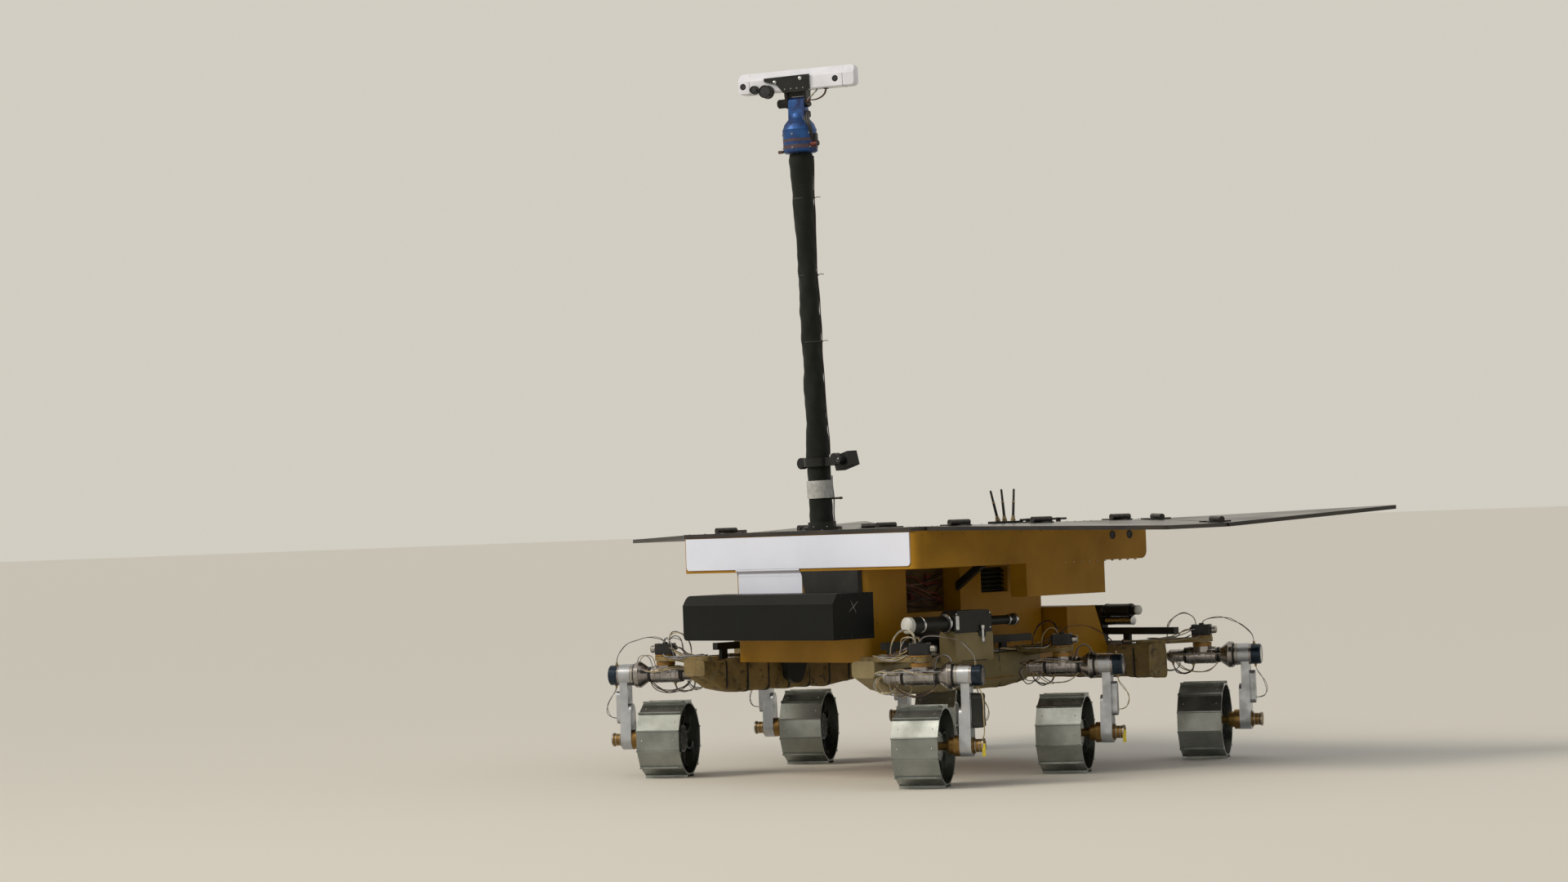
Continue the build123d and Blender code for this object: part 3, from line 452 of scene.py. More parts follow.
# directions round a circle: cos t·side + sin t·across
def circle(t, side, across):
    return np.cos(t)[:, None] * side + np.sin(t)[:, None] * across


# a profile of (u, r) turned about an axis: P = centre + u·axis + r·(cos t·side + sin t·across)
def turned(centre, axis, stations, sides=32):
    axis = np.asarray(axis, float) / np.linalg.norm(axis)
    side = np.cross(axis, [0.31, 0.17, 0.93]) if abs(axis[2]) < 0.9 else np.cross(axis, [0.0, 1.0, 0.0])
    side /= np.linalg.norm(side)
    t = np.linspace(0, 2 * np.pi, sides, endpoint=False)
    u, r = np.array(stations, float).T[:, :, None, None] * mm
    return skin(np.asarray(centre) + u * axis + r * circle(t, side, np.cross(axis, side)))


# a ring or short cylinder about an axis, its edges softened by a lip
def ringOn(centre, axis, start, end, radius, lip=1.0, sides=40):
    wide = radius + lip
    profile = [(start, radius), (start + lip, wide), (end - lip, wide), (end, radius)]
    return turned(centre, axis, profile, sides)


# rings about one axis, from a table of starts, ends and radii
def ringsOn(centre, axis, table, *shape):
    return [ringOn(centre, axis, *ring, *shape) for ring in table]


# a superellipse: u = |cos t|^power and v = |sin t|^power with their signs, squarer as the power falls
def squared(t, power):
    return [np.sign(w) * np.abs(w) ** power for w in (np.cos(t), np.sin(t))]


# a rounded block: superellipse rings in two axes, carried along the third with small bevels at both ends
def block(centre, axes, size, corner=0.2, bevel=0.08, sides=24):
    x, y, z = np.asarray(axes, float)
    wide, deep, high = np.array(size, float) * mm
    u, v = squared(np.linspace(0, 2 * np.pi, sides, endpoint=False) + np.pi / sides, corner)
    lip = bevel * min(wide, deep, high)
    heights = np.array([-high / 2, lip - high / 2, high / 2 - lip, high / 2])[:, None, None]
    inset = np.array([lip, 0, 0, lip])[:, None]
    a = np.sign(u) * np.maximum(np.abs(u) * wide / 2 - inset, 0)
    b = np.sign(v) * np.maximum(np.abs(v) * deep / 2 - inset, 0)
    return skin(np.asarray(centre) + a[..., None] * x + b[..., None] * y + heights * z)


# a smooth line through a route: the NURBS curve of order 3 whose control points the route is
def smoothLine(route, resolution=8):
    curve = bpy.data.curves.new("route", "CURVE")
    curve.dimensions = "3D"
    curve.resolution_u = resolution
    spline = curve.splines.new("NURBS")
    spline.points.add(len(route) - 1)
    spline.points.foreach_set("co", np.hstack([route, np.ones((len(route), 1))]).ravel())
    spline.order_u = 3
    spline.use_endpoint_u = True
    holder = bpy.data.objects.new("route", curve)
    mesh = bpy.data.meshes.new_from_object(holder)
    line = np.empty(len(mesh.vertices) * 3)
    mesh.vertices.foreach_get("co", line)
    bpy.data.objects.remove(holder)
    bpy.data.curves.remove(curve)
    bpy.data.meshes.remove(mesh)
    return line.reshape(-1, 3)


# two axes square to a line at each of its points, steadied by the direction in which it bends least
def lineAxes(line):
    tangent = np.gradient(line, axis=0)
    tangent /= np.linalg.norm(tangent, axis=1)[:, None]
    flat = np.linalg.svd(line - line.mean(0))[2][2]
    side = flat - (tangent @ flat)[:, None] * tangent
    side /= np.maximum(np.linalg.norm(side, axis=1)[:, None], 1e-9)
    return side, np.cross(tangent, side)


# a round tube along a line, of one radius or one at each point: P = line + r·(cos t·side + sin t·across)
def tube(line, radius, sides=8):
    side, across = lineAxes(line)
    t = np.linspace(0, 2 * np.pi, sides, endpoint=False)[None, :, None]
    radii = np.broadcast_to(np.asarray(radius) * mm, len(line))[:, None, None]
    return skin(line[:, None] + radii * (np.cos(t) * side[:, None] + np.sin(t) * across[:, None]))


# strands of a bundle: each keeps a distance from the line that swells between the ends, and winds round it
def strands(line, count, radius, swell, turns, rng):
    side, across = lineAxes(line)
    t = np.linspace(0, 1, len(line))
    shapes = []
    for k in range(count):
        phase = 2 * np.pi * k / count + rng.uniform(-0.3, 0.3)
        reach = (1.15 * radius + swell * rng.uniform(0.5, 1.0) * np.sin(np.pi * t) ** 0.8) * mm
        angle = phase + 2 * np.pi * turns * t + 0.5 * np.sin(2 * np.pi * t * rng.uniform(0.6, 1.3))
        path = line + (reach * np.cos(angle))[:, None] * side + (reach * np.sin(angle))[:, None] * across
        shapes.append(tube(path, radius, 7))
    return shapes


# one mesh piece that rides on a body, from lists of shapes by the name of their material
def newPiece(name, body, parts, smooth=35, replaces=()):
    shapes = [join(part) for part in parts.values()]
    points, quads, tris = join(shapes)
    which = np.concatenate([np.full(len(shape[k]), i) for k in (1, 2) for i, shape in enumerate(shapes)])
    mesh = bpy.data.meshes.new(name)
    mesh.from_pydata(points, [], quads.tolist() + tris.tolist())
    mesh.polygons.foreach_set("material_index", which.astype(np.int32))
    mesh.shade_smooth()
    mesh.set_sharp_from_angle(angle=math.radians(smooth))
    for material in parts:
        mesh.materials.append(materials[material])
    piece = bpy.data.objects.new(name, mesh)
    bpy.context.scene.collection.objects.link(piece)
    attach(piece, body)
    if replaces:
        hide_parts(*replaces)


# Where things stand, read from the frame. A stand is an origin and three axes of its own.

armLook = {"rootX": 0.369, "rearRootX": 0.520, "rearReach": 0.187}  # metres


# a stand on the ground, with axes outboard along a level direction, aft and up
def standAt(origin, out):
    return {"origin": origin, "axes": np.array([out, np.cross(upward, out), upward])}


# the ground under a steering axis: out runs along the wheel's axle away from the rover
def cornerAt(corner):
    x, y, _ = joints["steer_" + corner]["pos_m"]
    return standAt(np.array([x, y, 0.0]), math.copysign(1, x) * np.array(joints["roll_" + corner]["axis"]))


# the same ground, turned so that out runs away from the root of the arm that carries the steering motor
def armAt(corner):
    origin = corners[corner]["origin"]
    rear = corner.startswith("rear")
    rootX = armLook["rearRootX" if rear else "rootX"]
    reach = origin - (math.copysign(rootX, origin[0]), origin[1] - armLook["rearReach"] * rear, 0.0)
    return standAt(origin, reach / np.linalg.norm(reach))


# places in metres, from places in mm along a stand's own axes
def local(stand, places):
    return stand["origin"] + np.asarray(places, float) * mm @ stand["axes"]


corners = {name[6:]: cornerAt(name[6:]) for name in joints if name.startswith("steer_")}
walkZ = joints["steer_front_left"]["pos_m"][2] / mm
axleZ = joints["roll_front_left"]["pos_m"][2] / mm
# the mast's line, through the pan joint
panFoot, panAxis = (np.array(joints["mast_pan"][key]) for key in ("pos_m", "axis"))


# three axes with the third along a normal
def axesOn(normal):
    z = np.asarray(normal, float) / np.linalg.norm(normal)
    x = np.cross([0, 1, 0] if abs(z[1]) < 0.8 else [0, 0, 1], z)
    x /= np.linalg.norm(x)
    return np.array([x, np.cross(z, x), z])


# blocks along a stand's axes, from a table of places and sizes
def blocksAt(stand, table, *shape):
    return [block(local(stand, place), stand["axes"], size, *shape) for place, size in table]


# a cap screw head on the surface z = 0, with its rounded rim and its socket
def screwHead(radius, height):
    profile = [(-0.4, 1), (0.75, 1), (1, 0.8), (1, 0.42), (0.55, 0.4)]
    return turned((0, 0, 0), upward, [(height * u, radius * r) for u, r in profile], 10)


# screws at a list of places on faces with one normal
def screwsAt(places, normal, radius, height):
    return scatter(screwHead(radius, height), places, axesOn(normal))


# a row of screws from one point to another on a face with this normal
def screwRow(start, end, count, normal, radius=3, height=1.8):
    t = np.linspace(0, 1, count)[:, None]
    return screwsAt(np.asarray(start) * (1 - t) + np.asarray(end) * t, normal, radius, height)


# a ring of screws about an axis: place = centre + r·(cos t·side + sin t·across)
def screwRing(centre, axis, reach, count, radius=2, height=1.6):
    t = 0.3 + np.arange(count) * 2 * np.pi / count
    side, across, _ = axesOn(axis)
    return screwsAt(np.asarray(centre) + reach * mm * circle(t, side, across), axis, radius, height)


# Leads: loose bundles of wires, in mm from the ground under the steering axis: outboard along the axle, aft,
# and up

leadLook = {
    "wire": 1.6,      # radius of a wire, mm
    "thin": 1.1,
    "colours": ["wireBeige", "wireGrey", "wireBeige", "wireBrown", "wireGrey", "wireDark"],
    # how full the loose bundles are at each corner, as a share
    "full": {"front_left": 1.0, "front_right": 1.0, "middle_left": 0.5, "middle_right": 0.5, "rear_left": 0.5,
             "rear_right": 0.5},
    # the rear beam is near, so its turning loops reach no further inboard and no higher than this
    "rearInboard": -124, "rearTop": 332,
}
# single loops, each as (route, how many wires, stray in mm): over the motor, over the drive, down the leg
# and under the barrel
heldLoops = {
    "arch": ([(-20, 0, 424), (-20, 0, 443), (-36, 5, 458), (-65, 8, 464), (-96, 6, 454), (-118, 3, 432),
              (-125, 0, 408), (-125, 0, 384)], 3, 5),
    "cap": ([(0, 0, 424), (4, 2, 436), (22, 7, 444), (54, 12, 446), (90, 12, 440), (122, 9, 426),
             (148, 5, 405), (163, 1, 382), (165, 0, 358)], 2, 5),
    "leg": ([(168, 0, 296), (168, 0, 279), (183, 4, 258), (197, 7, 234), (199, 5, 211), (189, 0, 190),
             (166, 0, 190)], 2, 5),
    "under": ([(-95, 0, 307), (-95, 0, 291), (-84, 5, 276), (-64, 8, 269), (-44, 5, 272), (-30, 0, 285),
               (-30, 0, 300)], 3, 5),
}
# wires that turn with the leg, on both sides of the barrel
turningLoops = {
    "innerLow": ([(-113, 6, 327), (-126, 8, 327), (-136, 12, 316), (-134, 20, 296), (-118, 26, 280),
                  (-96, 24, 276), (-78, 14, 288), (-72, 4, 304)], 2, 7),
    "innerHigh": ([(-113, 4, 331), (-127, 8, 334), (-134, 16, 338), (-124, 28, 342), (-98, 34, 341),
                   (-72, 30, 338), (-54, 22, 338)], 2, 6),
    "saddle": ([(-102, 18, 334), (-84, 30, 342), (-52, 36, 345), (-16, 39, 343), (20, 37, 340), (48, 30, 336),
                (66, 24, 340)], 4, 8),
    "belly": ([(-84, 10, 308), (-70, 17, 290), (-44, 21, 277), (-12, 19, 271), (18, 15, 277), (40, 11, 290),
               (50, 9, 306)], 2, 8),
    "collar": ([(40, 15, 350), (44, 18, 376), (58, 19, 390), (78, 15, 388), (90, 9, 376),
                (92, 5, 362)], 1, 4),
}
# wires that stay with the arm, beside and over the steering motor
fixedLoops = {
    "along": ([(-190, 12, 388), (-166, 24, 387), (-134, 36, 384), (-100, 39, 381), (-66, 38, 380),
               (-36, 38, 383), (-24, 30, 392)], 4, 7),
    "face": ([(-30, 8, 410), (-44, 11, 412), (-60, 17, 404), (-82, 18, 394), (-108, 14, 389), (-136, 10, 387),
              (-164, 6, 386)], 3, 6),
    "curl": ([(-8, 9, 424), (-9, 10, 436), (-26, 17, 446), (-46, 22, 438), (-56, 24, 420), (-60, 25, 402),
              (-66, 22, 386)], 2, 6),
}


# one wire of a loose bundle: the route's points, each moved at random by up to the stray, less near both ends
def strayed(route, stray, rng):
    t = np.linspace(0, 1, len(route))[:, None]
    return route + stray * np.sin(np.pi * t) * rng.uniform(-1, 1, (len(route), 3))


# a share of the wires of one loop, on one or both sides, added to the lists of their colours
def addWires(parts, stand, loop, radius, rng, full=1.0, sides=(1,)):
    route, count, stray = loop
    colours = leadLook["colours"]
    for side in sides:
        for _ in range(math.ceil(count * full)):
            line = smoothLine(local(stand, strayed(np.array(route, float) * (1, side, 1), stray, rng)), 5)
            parts.setdefault(colours[rng.integers(len(colours))], []).append(tube(line, radius, 6))


def makeLeads():
    look = leadLook
    for number, (corner, stand) in enumerate(corners.items()):
        rng = np.random.default_rng(11 + number)
        parts = {}
        for name, radius in (("cap", "thin"), ("leg", "thin"), ("under", "wire")):
            addWires(parts, stand, heldLoops[name], look[radius], rng)
        for name, (route, count, stray) in turningLoops.items():
            if corner.startswith("rear"):
                if name == "collar":
                    continue
                route = [(max(a, look["rearInboard"]), b, min(c, look["rearTop"])) for a, b, c in route]
            addWires(parts, stand, (route, count, stray), look["wire"], rng, look["full"][corner], (1, -1))
        newPiece("wires_" + corner, "steering_" + corner, parts, replaces=["lead_" + corner])
    parts = {}
    rng = np.random.default_rng(5)
    for corner in corners:
        arm, full = armAt(corner), look["full"][corner]
        addWires(parts, arm, heldLoops["arch"], look["wire"], rng, full)
        for name, loop in fixedLoops.items():
            if name == "curl" and corner.startswith("rear"):
                continue
            addWires(parts, arm, loop, look["wire"], rng, full, (1, -1))
    newPiece("wires_motors", "chassis", parts, replaces=["harness"])


makeLeads()

# Trunk bundles: the wires lie along the beams from each arm to the pivot drive, tied down at even steps

trunkLook = {
    "strands": 7, "wire": 1.8, "swell": 3, "turns": 1.2,
    "sideX": 0.410, "below": 5,     # metres from the middle, and mm below the top of the beams' box
    "pivotFrom": 0.37, "pivotTo": 0.24, "end": 0.04,   # where the side runs stop, in metres from the axles
    "rearX": 0.5, "rearY": -0.027,
    "tieStep": 0.09, "tieStart": 0.04, "tie": (-2, 2, 6.4),
}


# a run laid loosely from start to end: plus A·sin(f·t + p) across and B·sin²(g·t + q) upwards, A and B in mm
def looseRun(start, end, count, across, wave, rise):
    t = np.linspace(0, 1, count)[:, None]
    (a, f, p), (b, g, q) = wave, rise
    line = np.array(start) * (1 - t) + np.array(end) * t
    return line + a * mm * np.sin(f * t + p) * np.array(across) + b * mm * np.sin(g * t + q) ** 2 * upward


def makeTrunks():
    look = trunkLook
    rng = np.random.default_rng(23)
    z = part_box("bogie_left")[1].z - look["below"] * mm
    frontY, middleY, rearY = (corners[row + "_left"]["origin"][1] for row in ("front", "middle", "rear"))
    runs = []
    for side in (-1, 1):
        x = side * look["sideX"]
        for y0, y1 in ((frontY + look["end"], middleY - look["pivotFrom"]),
                       (middleY - look["pivotTo"], middleY - look["end"])):
            runs.append(looseRun((x, y0, z), (x, y1, z), 9, (1, 0, 0), (3.6, 7, side), (3, 9, 1)))
    y = rearY - armLook["rearReach"] + look["rearY"]
    x = look["rearX"]
    runs.append(looseRun((-x, y, z), (x, y, z), 17, (0, 1, 0), (4, 11, 0), (3, 14, 0)))
    parts, ties, colours = {}, [], leadLook["colours"]
    for run in runs:
        line = smoothLine(run)
        for shape in strands(line, look["strands"], look["wire"], look["swell"], look["turns"], rng):
            parts.setdefault(colours[rng.integers(len(colours))], []).append(shape)
        length = np.concatenate([[0], np.cumsum(np.linalg.norm(np.diff(line, axis=0), axis=1))])
        for stop in np.arange(look["tieStart"], length[-1], look["tieStep"]):
            k = int(np.searchsorted(length, stop))
            along = line[min(k + 1, len(line) - 1)] - line[k - 1]
            ties.append(ringOn(line[k], along, *look["tie"], 0.6, 14))
    newPiece("beam_wires", "chassis", {**parts, "nylon": ties})


makeTrunks()
print("wires")

# Drives: rings, screws, connectors and tags on each leg

driveLook = {
    # start, end and radius in mm along the walk drive
    "darkRings": [(-105, -98, 19), (-58, -50, 24), (47, 57, 23.4), (98.5, 104, 34)],
    "brightRings": [(-112, -106, 15), (-92, -88, 20), (-76, -72, 20), (-40, -36, 27), (-24, -21, 27),
                    (12, 15, 27), (30, 34, 27), (84, 88, 41), (105, 112, 34)],
    "motorRings": [(157, 160, 19), (170, 173, 19), (179, 183.5, 21)],   # along the wheel's axle
    # rings of screws: how high, how far out, which way they face, their reach, number, radius and height
    "screws": [(walkZ, 98, 1, 37.8, 8, 2, 1.6), (axleZ, 150, 1, 28, 6, 2.2, 1.8),
               (axleZ, 114.9, -1, 29, 8, 1.6, 1.2), (walkZ, 157, 1, 32, 10, 1, 1)],
    "cap": [(157.2, 31), (158, 31.8), (184, 31.8), (187.4, 28), (187.4, 22), (186, 20.5)],
    "tag": ((186, -20, axleZ - 12), (10, 1.2, 38)),
    "tagged": ("front_left", "middle_left"),
    # a stub under each lead's end: place in mm, direction as outboard, aft, up, and radius
    "stubs": [((-95, 0, 308), (0, 0, -1), 5), ((-30, 0, 301), (0, 0, -1), 5),
              ((165, 0, 357), (0, 0, 1), 5), ((168, 0, 297), (0, 0, -1), 5),
              ((-112, 6, 327), (-1, 0, 0), 6), ((-112, -6, 327), (-1, 0, 0), 6)],
    "stubRings": [(-1, 4, 0, 0.8, 16), (4, 11, -2.4, 0.8, 14)],   # start, end, added radius, lip, sides
}


def makeDrives():
    look = driveLook
    for corner, stand in corners.items():
        out = stand["axes"][0]
        walk, axle = local(stand, (0, 0, walkZ)), local(stand, (0, 0, axleZ))
        dark = ringsOn(walk, out, look["darkRings"])
        bright = ringsOn(walk, out, look["brightRings"]) + ringsOn(axle, out, look["motorRings"], 0.8, 32)
        bright += [screwRing(local(stand, (x, 0, z)), facing * out, *ring)
                   for z, x, facing, *ring in look["screws"]]
        stubs = []
        for place, way, radius in look["stubs"]:
            start, axis = local(stand, place), np.array(way, float) @ stand["axes"]
            stubs += [ringOn(start, axis, low, high, radius + more, *ring)
                      for low, high, more, *ring in look["stubRings"]]
        cap = turned(walk, out, look["cap"], 48)
        newPiece("drive_fittings_" + corner, "steering_" + corner,
                 {"black_anodised": dark, "platedSteel": bright, "capBlue": [cap], "dullBrass": stubs})
        if corner in look["tagged"]:
            newPiece("tag_" + corner, "steering_" + corner,
                     {"yellowTag": blocksAt(stand, [look["tag"]], 0.15, 0.1, 12)})


makeDrives()

# Sensor box on the front left leg: a dark housing outside the leg, with one pale cable down its outer edge

sensorLook = {
    "corner": "front_left",
    "box": ((169, 0, 224), (34, 40, 100)),
    "straps": [((169, 0, z), (35.4, 41.4, 5)) for z in (186, 262)],
    "screws": [(186, y, z) for y in (-14, 14) for z in (182, 266)],
    "cable": [(168, 0, 298), (178, -12, 286), (188, -20, 268), (190, -21, 240), (189, -21, 205),
              (190, -20, 176), (188, -16, 150), (176, -8, 134), (168, 0, 126)],
}


def makeSensor():
    look = sensorLook
    stand = corners[look["corner"]]
    cable = tube(smoothLine(local(stand, look["cable"]), 6), 1.8, 8)
    screws = screwsAt(local(stand, look["screws"]), stand["axes"][0], 2.4, 1.6)
    newPiece("leg_sensor", "steering_" + look["corner"],
             {"black_anodised": blocksAt(stand, [look["box"]], 0.12, 0.1, 24),
              "nylon": blocksAt(stand, look["straps"], 0.08, 0.1, 24), "wireBeige": [cable],
              "platedSteel": [screws]})


makeSensor()

# Steering motors: the silver knob, screws and a plug on each cover, and the taped bearing under it

motorLook = {
    "screws": [(26 * a, 15 * b, 424) for a in (-1, 1) for b in (-1, 1)],
    "knob": [(31, 9), (33, 12), (45, 12), (48.5, 9), (48.5, 5), (46, 4)], "knobZ": 407,
    "plugs": [((-33.5, y, 410), (6, 11, 13)) for y in (-9, 9)],
    "topRing": (423, 429, 7, 1, 20),
    "bearing": (384, 32.6, 8, 1.8, 1.5),   # height and reach of its ring of screws, their number and size
    "tapes": [(385, 389.5, 32.4, 0.8), (355, 368, 29.2, 0.9)],
}


def makeMotors():
    look = motorLook
    bright, dark, amber = [], [], []
    for stand in corners.values():
        out = stand["axes"][0]
        ground = stand["origin"]
        bright.append(scatter(screwHead(2.2, 1.6), local(stand, look["screws"]), stand["axes"]))
        bright.append(turned(local(stand, (0, 0, look["knobZ"])), out, look["knob"], 28))
        bearingZ, *ring = look["bearing"]
        bright.append(screwRing(local(stand, (0, 0, bearingZ)), upward, *ring))
        amber += ringsOn(ground, upward, look["tapes"])
        dark += [ringOn(ground, upward, *look["topRing"])] + blocksAt(stand, look["plugs"])
    newPiece("motor_fittings", "chassis",
             {"platedSteel": bright, "black_anodised": dark, "amberTape": amber})


makeMotors()
print("drives")

# Wheels: bolts through each flat of the rim for the springs and lugs, a painted highlight in paler metal along
# each lug edge, and the bolted hub

wheelLook = {
    "rimCorner": 118, "lugs": 12,
    "lugEdge": 122.6, "lugReach": 57, "highlightRadius": 2.3,     # mm from the axle, to each side, and the radius of the painted highlight along the lug edge
    "rowReach": 52, "bolt": (2.4, 1.2),
    "hub": (49, 51.5, 37),
    # rings of hub bolts: how far out, which way they face, their reach, number, radius and height
    "hubBolts": [(-51.2, -1, 26, 6, 3, 2), (50, 1, 34, 6, 2.4, 2)],
}


def makeWheels():
    look = wheelLook
    flat = look["rimCorner"] * math.cos(math.pi / look["lugs"])
    for corner, stand in corners.items():
        out, aft, up = stand["axes"]
        centre = local(stand, (0, 0, axleZ))
        turns = np.arange(look["lugs"]) * 2 * np.pi / look["lugs"]
        bolts, lugHighlights, steps = [], [], np.array([[-1.0], [0.0], [1.0]])
        for normal, edge in zip(circle(turns, aft, up), circle(turns + np.pi / look["lugs"], aft, up)):
            line = centre + look["lugEdge"] * mm * edge + steps * look["lugReach"] * mm * out
            lugHighlights.append(tube(line, look["highlightRadius"], 8))
            places = centre + (flat * normal + steps[::2] * look["rowReach"] * out) * mm
            bolts.append(screwsAt(places, normal, *look["bolt"]))
        bolts += [screwRing(local(stand, (x, 0, axleZ)), facing * out, *ring)
                  for x, facing, *ring in look["hubBolts"]]
        newPiece("wheel_fittings_" + corner, "wheel_" + corner,
                 {"platedSteel": bolts, "black_anodised": [ringOn(centre, -out, *look["hub"], 1.0, 36)],
                  "lugHighlight": lugHighlights})


makeWheels()
print("wheels")

# Mast: a dark wrinkled sleeve over the tube, with ties and thin cables down its side

mastLook = {
    # height above the floor in metres and radius in mm, up the sleeve
    "stations": [(0.792, 38), (0.98, 36), (1.18, 31.5), (1.45, 30), (1.70, 30.5), (1.85, 35), (1.92, 38.5),
                 (1.9395, 34)],
    "rings": 260, "sides": 64,
    "folds": [(2, 26, 1.4, 1.3), (3, -41, 1.0, 2.0), (5, 88, 0.55, 1.1), (1, 150, 0.35, 0.6)],
    "ties": [1.353, 1.56, 1.80],
    "tail": [(0, 0), (8, 1), (16, 3), (24, 1)],     # a tie's loose end: outwards and up
    "cableTurn": 35,                                # degrees from +X
    "cable": (1.0, 1.93, 22), "cableRadius": 1.7,   # heights in metres, and how many points between them
    "lightCable": (0.790, 0.935, 9), "lightOut": 41, "lightRadius": 2.2,
    "stubZ": 0.864, "stub": [(36, 70, 2.4), (60, 66, 3.6)],
}


# a place on the mast's line at a height
def mastAt(height):
    return panFoot + panAxis * (height - panFoot[2]) / panAxis[2]


# a row of places on the mast's line between two heights, and the heights
def mastRow(low, high, count):
    heights = np.linspace(low, high, count)
    return np.array([mastAt(height) for height in heights]), heights


# the sleeve's radius in mm: the stations' radius plus folds, each A·sin(n·t + k·z + w·sin(9z + n))
def sleeveRadius(t, z):
    r = np.interp(z, *np.array(mastLook["stations"]).T)
    for n, k, depth, wander in mastLook["folds"]:
        r = r + depth * np.sin(n * t + k * z + wander * np.sin(9 * z + n))
    return r


def makeMast():
    look = mastLook
    centre, z = mastRow(look["stations"][0][0], look["stations"][-1][0], look["rings"])
    t = np.linspace(0, 2 * np.pi, look["sides"], endpoint=False)
    side = np.cross([0, 1.0, 0], panAxis)
    side /= np.linalg.norm(side)
    across = np.cross(panAxis, side)
    rings = centre[:, None] + sleeveRadius(t[None], z[:, None])[..., None] * mm * circle(t, side, across)
    newPiece("mast_sleeve", "chassis", {"mast_sleeve": [skin(rings)]}, 60, ["mast_tube"])

    turn = math.radians(look["cableTurn"])
    way = math.cos(turn) * side + math.sin(turn) * across
    ties = []
    for height in look["ties"]:
        place, r = mastAt(height), sleeveRadius(turn, height)
        ties.append(ringOn(place, panAxis, -2.5, 2.5, r + 0.3, 0.8))
        tail = np.array([place + (way * (r - 2 + out) + panAxis * lift) * mm for out, lift in look["tail"]])
        ties.append(tube(smoothLine(tail), 1.2, 6))
        ties.append(block(place + way * (r + 2) * mm, axesOn(way), (6, 7, 5)))
    route, z = mastRow(*look["cable"])
    reach = sleeveRadius(turn, z) + 2.2
    route = route + (reach[:, None] * way + 3 * np.sin(19 * z)[:, None] * np.cross(panAxis, way)) * mm
    cable = tube(smoothLine(route), look["cableRadius"], 7)
    stub = ringsOn(mastAt(look["stubZ"]), way, look["stub"], 0.8, 14)
    route, z = mastRow(*look["lightCable"])
    route = route + (look["lightOut"] + 1.5 * np.sin(60 * z))[:, None] * mm * way
    newPiece("mast_ties", "chassis",
             {"nylon": ties, "wireDark": [cable], "wireBrown": stub,
              "wireGrey": [tube(smoothLine(route), look["lightRadius"], 8)]})


makeMast()

# Head: places in mm from the tilt joint: along the camera bar, back, and up

barLook = {
    "barrels": [(-130, 48, 12.5, 22, 43), (-88, 38, 20, 22, 57)],  # along, up, radius, and from, to ahead
    "lenses": [(-171, 62, 9), (134, 62, 9)],                       # along, up, radius
    "buttons": [(-62, -30.2, 66), (22, -30.2, 72)], "button": [(-1, 6), (2, 6), (4, 4), (4.6, 1)],
    "plateScrews": [(x, -30.2, 42) for x in (-30, -10, 10, 30)],
    "barScrews": [(x, 22.8, z) for x in (-178, -60, 60, 186) for z in (47, 93)],
    "saddle": ((2, -4, 26.5), (56, 18, 15)),
    "seamAt": (-150, 158),   # a seam round the bar near each end, where its caps are glued on
    "seam": [(-23.2, 37.6), (-23.2, 76), (-3, 102.5), (23.2, 102.5), (23.2, 36.8), (-20, 36.8)],
}
# cables that hang from the bar's underside into the tilt bracket, held at both ends on the same body
headCables = {
    "ribbon": [(96, 0, 38), (94, 0, 26), (84, 2, 14), (66, 3, 6), (48, 2, 4), (34, 0, 6)],
    "ribbonOffsets": (-5, -2, 1, 4), "ribbonWire": 1.6,
    "loose": [(70, -8, 38), (68, -16, 30), (58, -24, 18), (46, -26, 4), (40, -18, -6), (36, -8, -8)],
    "looseColours": ("wireGrey", "wireBeige", "wireBlack"), "looseWire": 1.4, "stray": 4,
    "connector": ((42, -16, 2), (9, 12, 9)),
    "clips": [((96, 0, 37), (12, 16, 5)), ((42, -12, -9), (10, 13, 11))],
}
# the pan unit, from its own joint: bands, bolts, plugs and a loom up the right of its neck
panLook = {
    "bands": [(6, 9, 53), (70, 73, 53)], "cloth": [(12, 26, 52.7), (34, 44, 52.7)],
    "boltZ": (16, 58), "bolts": 6, "radius": 53, "footScrew": (2, 50.5),
    "loom": [(30, -22, 40), (33, -28, 60), (27, -30, 84), (21, -24, 104), (19, -17, 120), (17, -10, 128)],
    "loomOffsets": (2, 8, 14, 20), "loomWire": 3,
    "plugs": [((36, -12, 118), (14, 14, 18)), ((38, -26, 66), (16, 14, 22)), ((52, -10, 44), (16, 22, 26))],
    # sockets that stand out sideways: place, side, start, end and radius
    "darkSocket": ((44, -12, 26), 1, 2, 22, 7), "redSocket": ((40, -30, 24), 1, 4, 24, 5),
    "brownSocket": ((-46, -26, 6), -1, 2, 18, 4),
}


# stands at the tilt and pan joints, both with axes along the bar, back and up
def headStands():
    along = np.array(joints["mast_tilt"]["axis"])
    up = panAxis - along * (panAxis @ along)
    up /= np.linalg.norm(up)
    axes = np.array([along, np.cross(up, along), up])
    return [{"origin": np.array(joints[name]["pos_m"]), "axes": axes} for name in ("mast_tilt", "mast_pan")]


